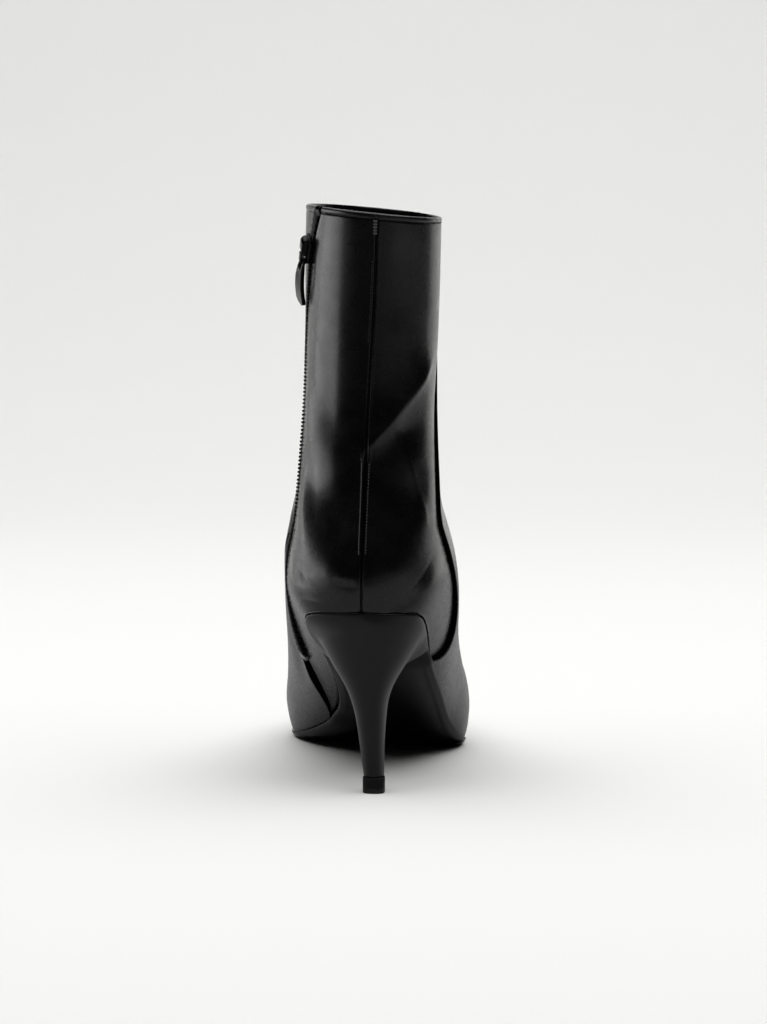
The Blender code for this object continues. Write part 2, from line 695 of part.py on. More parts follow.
def build_slider(finish_material):
    """Slider: a tapered plate on a neck over the chain, with the bridge that holds the pull."""
    frame = zip_frame(SLIDER_AT)
    top = PLATE_FLOOR + PLATE_THICKNESS
    half = SLIDER_LENGTH / 2
    plate = bmesh.new()
    bmesh.ops.create_grid(plate, x_segments=1, y_segments=1, size=1.0)
    for vertex in plate.verts:
        width = SLIDER_TOP_WIDTH if vertex.co.y > 0 else SLIDER_FOOT_WIDTH
        vertex.co = (vertex.co.x * width / 2, vertex.co.y * half, PLATE_FLOOR)
    bmesh.ops.bevel(plate, geom=plate.verts[:], offset=PLATE_CORNER, segments=3, profile=0.5,
                    affect="VERTICES", material=-1)
    raised = bmesh.ops.extrude_face_region(plate, geom=plate.faces[:], use_keep_orig=True)
    moved = [thing for thing in raised["geom"] if isinstance(thing, bmesh.types.BMVert)]
    bmesh.ops.translate(plate, vec=(0.0, 0.0, PLATE_THICKNESS), verts=moved)
    body = finish("zip_slider", plate, finish_material)
    body.matrix_world = frame
    near, far = BRIDGE_ENDS
    under = top + BRIDGE_OPENING
    crown = under + BRIDGE_THICKNESS
    buried = top - PLATE_THICKNESS / 2
    near_leg, far_leg = near + BRIDGE_LEG, far - BRIDGE_LEG
    arch = prism((
        (near, buried), (near, under - BRIDGE_ROUND),
        (near + BRIDGE_SHOULDER, crown - BRIDGE_ROUND), (near + BRIDGE_RISE, crown),
        (far - BRIDGE_RISE, crown), (far - BRIDGE_SHOULDER, crown - BRIDGE_ROUND),
        (far, under - BRIDGE_ROUND), (far, buried),
        (far_leg, buried), (far_leg, under - BRIDGE_ROUND), (far_leg - BRIDGE_ROUND, under),
        (near_leg + BRIDGE_ROUND, under), (near_leg, under - BRIDGE_ROUND), (near_leg, buried),
    ), BRIDGE_WIDTH)
    bridge = finish("slider_bridge", arch, finish_material)
    foot = CHAIN_PROUD + GAP
    reach = half - NECK_INSET
    neck = prism(((-reach, foot), (reach, foot), (reach, top - GAP), (-reach, top - GAP)), NECK_WIDTH)
    stem = finish("slider_neck", neck, finish_material)
    for helper in (bridge, stem):
        helper.matrix_world = frame
        join_to(body, helper)
    return body


def build_pull(finish_material):
    """Pull tab: an eye round the bridge and a bowed paddle, hung on the hinge line."""
    frame = zip_frame(SLIDER_AT)
    hinge = PLATE_FLOOR + PLATE_THICKNESS + BRIDGE_OPENING / 2
    half_bar = EYE_BAR / 2
    shoulder = PULL_LENGTH - PULL_TIP
    down = np.concatenate((
        (-half_bar, half_bar), np.linspace(half_bar, EYE_LENGTH, 6)[1:],
        np.linspace(EYE_LENGTH, shoulder, 7)[1:], PULL_LENGTH - PULL_TIP * np.array((0.5, 0.2, 0.0)),
    ))
    half_width = np.interp(down, (EYE_LENGTH, shoulder), (PULL_NECK_HALF, PULL_END_HALF))
    past = np.clip((down - shoulder) / PULL_TIP, 0.0, 1.0)
    half_width *= 1.0 - PULL_TIP_TAPER * past ** 2
    thickness = np.interp(down, (half_bar, EYE_LENGTH), (EYE_BAR, PULL_THICKNESS))
    share = np.clip(down / PULL_LENGTH, 0.0, 1.0)
    middle = PULL_BOW * np.sin(math.pi * share) - PULL_LEAN * share
    eye_share = EYE_HALF_WIDTH / np.maximum(half_width, EYE_HALF_WIDTH)
    columns = [-np.ones_like(down), -eye_share, 0.0 * down, eye_share, np.ones_like(down)]
    across = np.stack(columns, axis=1) * half_width[:, None]
    grids = []
    for side in (0.5, -0.5):
        out = np.broadcast_to((middle + side * thickness)[:, None], across.shape)
        along = np.broadcast_to(-down[:, None], across.shape)
        grids.append(np.stack((across, along, out), axis=-1))
    eye_rows = range(1, 6)
    bm = shell(*grids, cut=lambda row, column: row in eye_rows and column in (1, 2))
    pull = finish("zip_pull", bm, finish_material)
    pull.matrix_world = frame @ Matrix.Translation((0.0, HINGE_ALONG * MM, hinge * MM))
    return pull


finish("upper", build_upper(), material("leather_black", (0.012, 0.012, 0.013), 0.34))
finish("outsole", build_outsole(), material("sole_black", (0.015, 0.015, 0.015), 0.5))
finish("insole", build_insole(), material("insole_black", (0.02, 0.02, 0.02), 0.7))
finish("heel", build_heel(), material("heel_satin_black", (0.010, 0.010, 0.010), 0.3))
finish("heel_tip", build_heel_tip(), material("tip_rubber", (0.015, 0.015, 0.015), 0.55))
finish("zip_chain", zip_piece(STOP_END, 0.995), material("zip_black", (0.01, 0.01, 0.01), 0.4))
finish("zip_stop", zip_piece(ZIP_END + 0.002, STOP_END - 0.002),
       material("stop_metal", (0.45, 0.45, 0.45), 0.3, 1.0))
black_metal = material("slider_black_metal", (0.02, 0.02, 0.02), 0.25, 1.0)
build_slider(black_metal)
build_pull(black_metal)
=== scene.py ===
"""Looks of a black ankle boot for the right foot: pointed toe, slim flared heel, a front piece
lapped over two back quarters, a back seam, and a zip on its inner side.

Lengths are worked out in millimetres, in the frame of the CAD part: toe towards +Y, outer side
towards +X, floor at z = 0. Each mesh is turned into metres as its piece is added.
"""
import math

import bmesh
import bpy
import numpy as np
from mathutils import Matrix, Vector
from mathutils.bvhtree import BVHTree


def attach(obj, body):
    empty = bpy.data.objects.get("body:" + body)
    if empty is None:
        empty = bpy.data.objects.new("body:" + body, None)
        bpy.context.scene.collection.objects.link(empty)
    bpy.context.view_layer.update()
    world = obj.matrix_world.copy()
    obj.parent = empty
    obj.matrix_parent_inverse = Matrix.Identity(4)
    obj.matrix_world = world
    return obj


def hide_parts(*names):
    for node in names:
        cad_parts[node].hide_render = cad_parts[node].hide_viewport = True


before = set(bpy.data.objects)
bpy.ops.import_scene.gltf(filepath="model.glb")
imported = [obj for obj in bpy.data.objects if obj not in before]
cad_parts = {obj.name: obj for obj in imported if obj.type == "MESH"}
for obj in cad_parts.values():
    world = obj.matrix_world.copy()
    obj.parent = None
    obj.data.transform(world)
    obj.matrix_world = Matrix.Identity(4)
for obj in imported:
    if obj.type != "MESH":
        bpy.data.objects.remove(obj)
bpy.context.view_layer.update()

# Quarters
# The two back panels of the upper, cut from smooth coated leather about 1.2 mm thick, sewn
# together down the back and drawn over the last. Their top edge is turned in and topstitched.
MM = 0.001
LENGTH = 243.0
BALL_WIDTH = 82.0
HEEL_HEIGHT = 77.5
TOP_HEIGHT = 240.0
HEEL_SET = 20.0
COLLAR_SLOPE = 0.10
SLOT_WIDTH = 6.6
LEATHER = 1.25
LEATHER_BLACK = (0.0007, 0.0008, 0.0009)
# How far the sides turn under, in degrees, and how much more where the sole is drawn in
TUCK_LEAST = 60.0
TUCK_MORE = 30.0
# Step of section or of share around over which the last's directions are measured
NUDGE = 0.004

# Sections of the last's foot, from the toe back. Where its lower line and its ridge lie, as shares
# of the length and of the heel's height. Half widths and swing, as shares of half the ball width.
# How far up it is widest, and how far its inner side is drawn forward.
FOOT_COLUMNS = (
    "low_along", "low_lift", "high_along", "high_lift",
    "inner", "outer", "widest", "feather_in", "feather_out", "swing", "skew",
)
FOOT_SECTIONS = (
    (1.000, 0.150, 1.000, 0.150, 0.000, 0.000, 0.32, 0.000, 0.000, -0.220, 0.00),
    (0.978, 0.130, 0.974, 0.300, 0.225, 0.225, 0.32, 0.195, 0.195, -0.212, 0.04),
    (0.900, 0.092, 0.882, 0.435, 0.455, 0.455, 0.31, 0.410, 0.410, -0.195, 0.16),
    (0.764, 0.056, 0.745, 0.570, 0.790, 0.745, 0.27, 0.735, 0.700, -0.171, 0.36),
    (0.605, 0.050, 0.600, 0.755, 0.972, 0.950, 0.23, 0.900, 0.905, -0.129, 0.46),
    (0.465, 0.218, 0.523, 0.975, 0.925, 0.895, 0.29, 0.475, 0.785, -0.110, 0.34),
    (0.337, 0.436, 0.465, 1.220, 0.882, 0.850, 0.38, 0.345, 0.695, -0.098, 0.14),
    (0.214, 0.665, 0.424, 1.450, 0.872, 0.858, 0.42, 0.440, 0.622, -0.085, 0.03),
    (0.103, 0.903, 0.399, 1.645, 0.842, 0.805, 0.42, 0.610, 0.600, -0.088, 0.00),
    (0.037, 0.982, 0.387, 1.785, 0.788, 0.755, 0.43, 0.440, 0.440, -0.095, 0.00),
    (0.008, 1.000, 0.380, 1.900, 0.750, 0.730, 0.44, 0.000, 0.000, -0.100, 0.00),
)
# Sections of its leg, from the back of the heel up to the collar, in the same way. Rise is a share
# of the height above the heel.
LEG_COLUMNS = (
    "low_along", "low_rise", "high_along", "high_rise", "inner", "outer", "widest", "swing",
)
LEG_SECTIONS = (
    (0.001, 0.032, 0.377, 0.450, 0.726, 0.712, 0.445, -0.098),
    (-0.001, 0.125, 0.374, 0.494, 0.700, 0.694, 0.45, -0.093),
    (0.035, 0.372, 0.370, 0.600, 0.668, 0.652, 0.46, -0.073),
    (0.043, 0.568, 0.372, 0.726, 0.660, 0.662, 0.47, -0.054),
    (0.033, 0.788, 0.381, 0.866, 0.658, 0.672, 0.47, -0.037),
    (0.012, 1.000, 0.391, 1.000, 0.648, 0.678, 0.48, -0.027),
)
HEEL_BACK = len(FOOT_SECTIONS) - 1
COLLAR = HEEL_BACK + len(LEG_SECTIONS)
# Lines where the front piece laps over the quarters: section and share around, from the foot up
INNER_LAP = (
    (5.0, -1.000), (5.8, -0.865), (6.5, -0.735), (7.3, -0.588), (8.3, -0.505), (9.6, -0.484),
    (11.5, -0.484), (13.0, -0.491), (14.0, -0.507), (14.8, -0.545), (15.4, -0.596), (16.0, -0.675),
)
OUTER_LAP = (
    (7.0, 1.000), (6.85, 0.900), (6.75, 0.760), (6.85, 0.615), (7.3, 0.530), (8.2, 0.495),
    (9.5, 0.487), (11.0, 0.482), (12.5, 0.455), (13.7, 0.390), (14.9, 0.295), (16.0, 0.200),
)


def ease(share):
    """Smooth step from 0 to 1."""
    share = np.clip(share, 0.0, 1.0)
    return share * share * (3.0 - 2.0 * share)


def ease_over(value, span):
    """Smooth step as a value runs from the start of a span to its end."""
    return ease((value - span[0]) / (span[1] - span[0]))


class Curve:
    """Smooth cubic curve through a column of numbers, read at any row position."""

    def __init__(self, values, flat_start=False):
        self.values = np.array(values, dtype=float)
        count = len(values)
        system = np.eye(count) * 4.0
        system += np.eye(count, k=1) + np.eye(count, k=-1)
        system[0, 0] = system[-1, -1] = 2.0
        target = np.zeros(count)
        target[1:-1] = 3.0 * (self.values[2:] - self.values[:-2])
        target[0] = 3.0 * (self.values[1] - self.values[0])
        target[-1] = 3.0 * (self.values[-1] - self.values[-2])
        if flat_start:
            system[0, :2] = (1.0, 0.0)
            target[0] = 0.0
        self.slopes = np.linalg.solve(system, target)

    def __call__(self, at):
        at = np.clip(np.asarray(at, dtype=float), 0.0, len(self.values) - 1.0)
        row = np.minimum(at.astype(int), len(self.values) - 2)
        f = at - row
        start, end = self.values[row], self.values[row + 1]
        leave, arrive = self.slopes[row], self.slopes[row + 1]
        rise = end - start
        bend = 3 * rise - 2 * leave - arrive + f * (leave + arrive - 2 * rise)
        return start + f * (leave + f * bend)


def last_columns():
    """One curve for each column of the two section tables, in millimetres."""
    foot = {name: np.array(column) for name, column in zip(FOOT_COLUMNS, zip(*FOOT_SECTIONS))}
    leg = {name: np.array(column) for name, column in zip(LEG_COLUMNS, zip(*LEG_SECTIONS))}
    half = BALL_WIDTH / 2
    leg_height = TOP_HEIGHT - HEEL_HEIGHT
    columns = {}
    for end in ("low", "high"):
        along = np.concatenate((foot[end + "_along"], leg[end + "_along"])) * LENGTH - HEEL_SET
        height = np.concatenate(
            (foot[end + "_lift"] * HEEL_HEIGHT, HEEL_HEIGHT + leg[end + "_rise"] * leg_height)
        )
        columns[end + "_y"] = Curve(along, flat_start=True)
        columns[end + "_z"] = Curve(height)
    for name in ("inner", "outer", "swing"):
        columns[name] = Curve(np.concatenate((foot[name], leg[name])) * half)
    columns["widest"] = Curve(np.concatenate((foot["widest"], leg["widest"])))
    for name in ("feather_in", "feather_out"):
        columns[name] = Curve(foot[name] * half)
    columns["skew"] = Curve(foot["skew"])
    return columns


LAST = last_columns()


def last_point(section, around):
    """Points of the last's surface. Around runs from -1 at the inner feather line or the back
    line, over the ridge at 0, to 1 on the outer side."""
    section = np.asarray(section, dtype=float)
    around = np.asarray(around, dtype=float)
    inner_side = around < 0
    half = np.where(inner_side, LAST["inner"](section), LAST["outer"](section))
    feather = np.where(inner_side, LAST["feather_in"](section), LAST["feather_out"](section))
    feather = np.where(section < HEEL_BACK, feather, 0.0)
    half = np.maximum(half, 1e-6)
    widest = LAST["widest"](section)
    share = np.abs(around)
    over = np.minimum(share, 0.5) * math.pi
    tuck = np.radians(TUCK_LEAST + TUCK_MORE * (1.0 - feather / half))
    under = np.maximum(2.0 * share - 1.0, 0.0) * tuck
    below = feather + (half - feather) * (np.cos(under) - np.cos(tuck)) / (1.0 - np.cos(tuck))
    out = np.where(share <= 0.5, half * np.sin(over), below)
    up = np.where(
        share <= 0.5,
        widest + (1.0 - widest) * np.cos(over),
        widest * (1.0 - np.sin(under) / np.sin(tuck)),
    )
    low_y, low_z = LAST["low_y"](section), LAST["low_z"](section)
    aside = np.sign(around) * out
    ahead = LAST["skew"](section) * np.minimum(aside, 0.0) ** 2 / half
    y = low_y + up * (LAST["high_y"](section) - low_y) + ahead
    z = low_z + up * (LAST["high_z"](section) - low_z)
    z = z - COLLAR_SLOPE * aside * ease_over(section, (HEEL_BACK, COLLAR))
    return np.stack((LAST["swing"](section) + aside, y, z), axis=-1)


def skin(section, around, offset=0.0):
    """Points at a distance outside (or, negative, inside) the last's surface."""
    section = np.clip(np.asarray(section, dtype=float), 0.02, COLLAR)
    around = np.clip(np.asarray(around, dtype=float), -1.0, 1.0)
    closed = section >= HEEL_BACK
    before = np.where(closed, np.maximum(section - NUDGE, HEEL_BACK), section - NUDGE)
    along = last_point(np.minimum(section + NUDGE, COLLAR), around) - last_point(before, around)
    ahead, behind = around + NUDGE, around - NUDGE
    ahead = np.where(ahead > 1.0, np.where(closed, ahead - 2.0, 1.0), ahead)
    behind = np.where(behind < -1.0, np.where(closed, behind + 2.0, -1.0), behind)
    normal = np.cross(along, last_point(section, ahead) - last_point(section, behind))
    normal /= np.maximum(np.linalg.norm(normal, axis=-1, keepdims=True), 1e-12)
    return last_point(section, around) + normal * np.asarray(offset, dtype=float)[..., None]


def run_length(points):
    """Distance along a line of points, from its start to each of them."""
    return np.concatenate(([0.0], np.cumsum(np.linalg.norm(np.diff(points, axis=0), axis=1))))


def flat_tables():
    """Length of the ridge from the toe, and girth of each side, at close steps of the last."""
    steps = np.linspace(0.0, COLLAR, 301)
    height = run_length(last_point(steps, np.zeros_like(steps)))
    girths = []
    for side in (-1.0, 1.0):
        around = np.linspace(0.0, side, 41)
        grid = last_point(steps[:, None], around[None, :])
        girths.append(np.linalg.norm(np.diff(grid, axis=1), axis=2).sum(axis=1))
    return steps, height, girths[0], girths[1]


FLAT_STEPS, RIDGE_LENGTH, INNER_GIRTH, OUTER_GIRTH = flat_tables()


def inner_girth(section):
    return np.interp(section, FLAT_STEPS, INNER_GIRTH)


def outer_girth(section):
    return np.interp(section, FLAT_STEPS, OUTER_GIRTH)


def at_ridge(across, section):
    """Flat place at a distance across from the ridge, at a section."""
    return np.stack((across, np.interp(section, FLAT_STEPS, RIDGE_LENGTH)), axis=-1)


def to_flat(section, around):
    """Place on the last laid out flat: distance around from the ridge, and along it."""
    girth = np.where(np.asarray(around) < 0, inner_girth(section), outer_girth(section))
    return at_ridge(around * girth, section)


def from_flat(point):
    """Section and share around of a flat place. A place past the back line on the inner side lies
    on the outer side."""
    section = np.interp(point[..., 1], RIDGE_LENGTH, FLAT_STEPS)
    inner, outer = inner_girth(section), outer_girth(section)
    across = point[..., 0]
    around = across / np.maximum(np.where(across < 0, inner, outer), 1e-6)
    past = -across - inner
    wrapped = (section > HEEL_BACK) & (past > 1e-6)
    around = np.where(wrapped, 1.0 - past / np.maximum(outer, 1e-6), around)
    return section, np.clip(around, -1.0, 1.0)


def between(at, steps, places):
    """Flat places read at any steps between the given ones."""
    return np.stack([np.interp(at, steps, column) for column in places.T], axis=-1)


def flat_line(rows):
    """A line on the last, laid flat and read by the share of its length."""
    section, around = (Curve(column) for column in zip(*rows))
    at = np.linspace(0.0, len(rows) - 1.0, 201)
    points = to_flat(section(at), around(at))
    run = run_length(points)
    return lambda share: between(share, run / run[-1], points)


def straight_line(start, end):
    """A line of even steps between two (section, around) places on the last."""
    return lambda share: to_flat(*(a + (b - a) * np.asarray(share) for a, b in zip(start, end)))


# How far the back seam strays from the back line to the outer side, at each section of the leg
SEAM_STRAY = Curve((0.0, 0.0, 0.0, 0.4, 1.2, 3.1, 4.8))


def seam_place(section, aside=0.0):
    """Flat place at a distance to the outer side of the back seam."""
    stray = SEAM_STRAY(np.asarray(section, dtype=float) - HEEL_BACK)
    return at_ridge(-inner_girth(section) - stray - aside, section)


def leg_section(share):
    """Section at a share of the way from the heel's back to the collar."""
    return HEEL_BACK + (COLLAR - HEEL_BACK) * np.asarray(share, dtype=float)


def seam_line(share):
    return seam_place(leg_section(share))


inner_lap = flat_line(INNER_LAP)
outer_lap = flat_line(OUTER_LAP)


# How far the inner quarter's edge stands back from the lap, by the share of the lap's length: a
# narrowing gap below the zip, a tongue under its stop, and the slot, widest just above the stop
SLOT_EDGE = (
    (0.0, 0.0), (0.05, 2.0), (0.10, 3.8), (0.135, 4.6), (0.150, 4.2), (0.161, 1.0), (0.171, 0.5),
    (0.182, 3.2), (0.192, 6.2), (0.210, 9.0), (0.230, 8.4), (0.27, SLOT_WIDTH), (1.0, SLOT_WIDTH),
)
SLOT_EASE = (-0.005, 0.0, 0.005)


def quarter_edge(share):
    """Edge of the inner quarter, set back from the lap by the zip's slot."""
    share = np.asarray(share, dtype=float)
    at, back = zip(*SLOT_EDGE)
    set_back = np.mean([np.interp(share + step, at, back) for step in SLOT_EASE], axis=0)
    return inner_lap(share) - np.stack((set_back, np.zeros_like(set_back)), axis=-1)


def coons(left, right, bottom, top):
    """Panel between four lines, laid flat: across from left to right, up from bottom to top."""

    def place(across, up):
        across, up = np.broadcast_arrays(np.asarray(across, float), np.asarray(up, float))
        a, b = across[..., None], up[..., None]
        zero, one = np.zeros_like(across), np.ones_like(across)
        sides = (1 - a) * left(up) + a * right(up) + (1 - b) * bottom(across) + b * top(across)
        corners = (1 - b) * ((1 - a) * bottom(zero) + a * bottom(one))
        corners = corners + b * ((1 - a) * top(zero) + a * top(one))
        return sides - corners

    return place


def flat_between(start, end):
    """Even steps between two flat places."""
    return lambda share: start + (end - start) * np.asarray(share, dtype=float)[..., None]


INNER_QUARTER = coons(
    seam_line, quarter_edge,
    straight_line((HEEL_BACK, -1.0), (INNER_LAP[0][0], -1.0)),
    flat_between(seam_place(COLLAR), quarter_edge(np.array(1.0))),
)


def outer_seam_line(share):
    """The back seam, reached round the outer side."""
    section = leg_section(share)
    return at_ridge(outer_girth(section) - SEAM_STRAY(section - HEEL_BACK), section)


OUTER_QUARTER = coons(
    outer_lap, outer_seam_line,
    straight_line((OUTER_LAP[0][0], 1.0), (HEEL_BACK, 1.0)),
    flat_between(outer_lap(np.array(1.0)), outer_seam_line(np.array(1.0))),
)


def back_distance(flat):
    """Distance from the back line, negative on the inner side."""
    section = np.interp(flat[..., 1], RIDGE_LENGTH, FLAT_STEPS)
    across = flat[..., 0]
    return np.where(across < 0, -(inner_girth(section) + across), outer_girth(section) - across)


FOLD_FADE = 0.45


def bell(distance, width):
    """Soft bump: 1 at no distance, and little past twice the width."""
    return np.exp(-(distance / width) ** 2)


def soft_fold(aside, height, start, end, widths, crest, rise):
    """Height of a fold that runs between two (distance from the back line, height) places, with a
    width for its left and its right face, and a crest rounded to a radius."""
    run = np.subtract(end, start)
    length = np.hypot(*run)
    along = ((aside - start[0]) * run[0] + (height - start[1]) * run[1]) / length ** 2
    off = ((aside - start[0]) * run[1] - (height - start[1]) * run[0]) / length
    ends = ease(along / FOLD_FADE + 0.5) * ease((1.0 - along) / FOLD_FADE + 0.5)
    fall = (np.hypot(off, crest) - crest) / np.where(off < 0, *widths)
    return rise * ends * np.exp(-fall)


# Folds of the quarters: two (distance from the back line, height) places, widths of the left and
# right faces, radius of the crest, and rise. The first two meet beside the back seam on the outer
# side and open towards the front, the next ones run up the shaft, and the last lie by the seam.
FOLDS = (
    ((0.0, 143.0), (39.0, 177.0), (9.0, 4.2), 1.0, 2.30),
    ((17.0, 148.0), (47.0, 113.0), (4.6, 9.0), 1.4, 1.30),
    ((-42.0, 150.0), (-46.0, 205.0), (2.5, 2.5), 4.0, 0.30),
    ((-33.0, 175.0), (-35.0, 232.0), (2.5, 2.5), 5.0, 0.35),
    ((-22.0, 150.0), (-24.0, 190.0), (3.0, 3.0), 5.0, -0.25),
    ((14.0, 196.0), (18.0, 226.0), (4.0, 4.0), 7.0, -0.40),
    ((34.0, 190.0), (40.0, 235.0), (5.0, 5.0), 8.0, 0.30),
    ((-18.0, 88.0), (-3.0, 87.0), (1.0, 1.0), 1.4, -0.22),
    ((-16.0, 91.5), (-3.0, 91.0), (1.0, 1.0), 1.6, 0.16),
)
# Hollows: distance from the back line, height, spreads towards the back line, away from it and up,
# and depth. The first lies between the two folds, the others beside the heel tendon.
HOLLOWS = (
    (25.0, 150.0, 9.0, 9.0, 10.0, 1.5),
    (33.0, 123.0, 26.0, 14.0, 16.0, 1.8),
    (-36.0, 123.0, 32.0, 14.0, 16.0, 2.3),
)
# The flare of the counter on both sides of the heel: height, distance from the back line, spread
# of each, and rise
FLARE = (86.0, 32.0, 13.0, 22.0, 0.9)
# The back seam, by the distance from it: its groove, its lips, the ridges of the sewn-down stretch
# and the pucker at the foot of that stretch. Depths or rises, places and widths.
SEAM_GROOVE = (0.75, 0.7)
SEAM_LIPS = (1.3, 0.6)
INNER_LIP, OUTER_LIP = 0.08, 0.20
RIDGES = (0.42, 2.1, 0.55)
RIDGE_GROOVE = (0.22, 1.3)
SEWN_FOOT, SEWN_TOP = (99.0, 105.0), (139.0, 147.0)
PUCKER = (0.30, 98.0, 2.6, 2.6, 0.9)


def flare_rise(back, height):
    """How far the counter stands out above its lower edge."""
    level, aside, tall, wide, rise = FLARE
    return rise * bell(height - level, tall) * bell(np.abs(back) - aside, wide)


def hollow_depth(back, height):
    """How deep the hollows are at a distance from the back line and a height."""
    depth = np.zeros_like(back)
    for aside, level, inward, outward, tall, deepest in HOLLOWS:
        wide = np.where((back - aside) * aside < 0, inward, outward)
        depth += deepest * bell(back - aside, wide) * bell(height - level, tall)
    return depth


def quarter_relief(seam, back, height):
    """How far the leather stands off the last: folds, hollows, and the seam with its ridges."""
    rise = -hollow_depth(back, height)
    for fold in FOLDS:
        rise += soft_fold(back, height, *fold)
    near = np.abs(seam)
    lip, lip_width = SEAM_LIPS
    rise += np.where(seam > 0, OUTER_LIP, INNER_LIP) * bell(near - lip, lip_width)
    rise -= SEAM_GROOVE[0] * bell(near, SEAM_GROOVE[1])
    sewn = ease_over(height, SEWN_FOOT) * (1.0 - ease_over(height, SEWN_TOP))
    high, aside, wide = RIDGES
    rise += sewn * (high * bell(near - aside, wide) - RIDGE_GROOVE[0] * bell(near, RIDGE_GROOVE[1]))
    high, level, tall, aside, wide = PUCKER
    return rise + high * bell(height - level, tall) * bell(near - aside, wide)


def edge_roll(distance, radius):
    """How far a rounded edge falls away at a distance from it."""
    inside = np.clip(radius - distance, 0.0, radius)
    return radius - np.sqrt(np.maximum(radius ** 2 - inside ** 2, 0.0))


def second_skin(bm):
    """Extrude all faces of a mesh, and return the new vertices."""
    made = bmesh.ops.extrude_face_region(bm, geom=bm.faces[:], use_keep_orig=True)
    return [thing for thing in made["geom"] if isinstance(thing, bmesh.types.BMVert)]


def solid_between(outer, inner):
    """Closed sheet between two grids of points."""
    rows, columns = outer.shape[0] - 1, outer.shape[1] - 1
    bm = bmesh.new()
    bmesh.ops.create_grid(bm, x_segments=columns, y_segments=rows, size=1.0)
    row_of = bm.verts.layers.int.new("row")
    column_of = bm.verts.layers.int.new("column")
    for vertex in bm.verts:
        vertex[row_of] = round((vertex.co.y + 1) / 2 * rows)
        vertex[column_of] = round((vertex.co.x + 1) / 2 * columns)
        vertex.co = outer[vertex[row_of], vertex[column_of]]
    for vertex in second_skin(bm):
        vertex.co = inner[vertex[row_of], vertex[column_of]]
    return bm


class Field:
    """A value that varies over a surface. Operators add Math nodes, and node() adds any other."""

    def __init__(self, tree, socket=None):
        self.tree = tree
        self.socket = socket

    def node(self, kind, settings, values, result=0):
        made = self.tree.nodes.new("ShaderNode" + kind)
        for name, value in settings.items():
            if name == "stops":
                ramp = made.color_ramp.elements
                while len(ramp) < len(value):
                    ramp.new(0.5)
                for stop, (position, colour) in zip(ramp, value):
                    stop.position = position
                    stop.color = colour
            else:
                setattr(made, name, value)
        for name, value in values.items():
            if isinstance(value, Field):
                self.tree.links.new(value.socket, made.inputs[name])
            else:
                made.inputs[name].default_value = value
        return Field(self.tree, made.outputs[result])

    def maths(self, operation, *values):
        return self.node("Math", {"operation": operation}, dict(enumerate(values)))

    def __add__(self, other):
        return self.maths("ADD", self, other)

    def __radd__(self, other):
        return self.maths("ADD", other, self)

    def __sub__(self, other):
        return self.maths("SUBTRACT", self, other)

    def __rsub__(self, other):
        return self.maths("SUBTRACT", other, self)

    def __mul__(self, other):
        return self.maths("MULTIPLY", self, other)

    def __rmul__(self, other):
        return self.maths("MULTIPLY", other, self)


def new_finish(name, **constants):
    """A material, its shader with the sockets that stay the same all over, and its node tree."""
    made = bpy.data.materials.new(name)
    made.use_nodes = True
    shader = made.node_tree.nodes["Principled BSDF"]
    for socket, value in constants.items():
        shader.inputs[socket.replace("_", " ").title().replace("Ior", "IOR")].default_value = value
    return made, shader, Field(made.node_tree)


def feed(nodes, shader, **fields):
    """Link fields to the shader's sockets."""
    for socket, value in fields.items():
        nodes.tree.links.new(value.socket, shader.inputs[socket.replace("_", " ").title()])


def pattern(nodes, kind, size, settings=None, **values):
    """A texture in the piece's own coordinates, with a grain size in millimetres."""
    sockets = {name.title(): value for name, value in values.items()}
    sockets["Vector"] = nodes.node("TexCoord", {}, {}, "Object")
    return nodes.node("Tex" + kind, settings or {}, {"Scale": 1 / (size * MM), **sockets})


def tones(nodes, share, *stops):
    """Colour between (position, colour) stops. A colour is three parts, or one part for a grey."""
    ramp = [(position, (*np.broadcast_to(colour, 3), 1.0)) for position, colour in stops]
    return nodes.node("ValToRGB", {"stops": ramp}, {"Fac": share})


def relief(nodes, height, strength, depth, **under):
    """Bump with a depth in millimetres, over any bump under it."""
    sockets = {name.title(): value for name, value in under.items()}
    return nodes.node(
        "Bump", {}, {"Height": height, "Strength": strength, "Distance": depth * MM, **sockets}
    )


def leather_finish():
    """Smooth coated leather: fine grain, soft unevenness from stretching, and a low gloss."""
    made, shader, nodes = new_finish(
        "leather_black", specular_ior_level=0.38, coat_weight=0.12, coat_roughness=0.14
    )
    grain = pattern(
        nodes, "Voronoi", 0.62, {"feature": "SMOOTH_F1"}, smoothness=0.6, randomness=1.0
    )
    fine = pattern(nodes, "Noise", 0.35, detail=2.0)
    soft = pattern(nodes, "Noise", 7.0, detail=3.0)
    broad = pattern(nodes, "Noise", 28.0, detail=2.0)
    black = np.array(LEATHER_BLACK)
    tone = tones(nodes, 0.5 * soft + 0.5 * broad, (0.25, 0.75 * black), (0.75, 1.30 * black))
    waves = relief(nodes, soft, 0.5, 0.10)
    skin_grain = relief(nodes, grain + 0.4 * fine, 0.5, 0.03, normal=waves)
    feed(nodes, shader, base_color=tone, roughness=0.20 + 0.14 * soft, normal=skin_grain)
    return made


leather = leather_finish()


def add_piece(name, bm, finish, body, slot, *nodes, sharp=50.0):
    """Turn a bmesh in millimetres into a piece that rides a body and stands for CAD nodes."""
    bmesh.ops.remove_doubles(bm, verts=bm.verts[:], dist=0.002)
    bmesh.ops.recalc_face_normals(bm, faces=bm.faces[:])
    bmesh.ops.scale(bm, vec=(MM, MM, MM), verts=bm.verts[:])
    mesh = bpy.data.meshes.new(name)
    bm.to_mesh(mesh)
    bm.free()
    mesh.shade_smooth()
    mesh.set_sharp_from_angle(angle=math.radians(sharp))
    mesh.materials.append(finish)
    piece = bpy.data.objects.new(name, mesh)
    bpy.context.scene.collection.objects.link(piece)
    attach(piece, body)
    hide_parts(*nodes)
    return piece


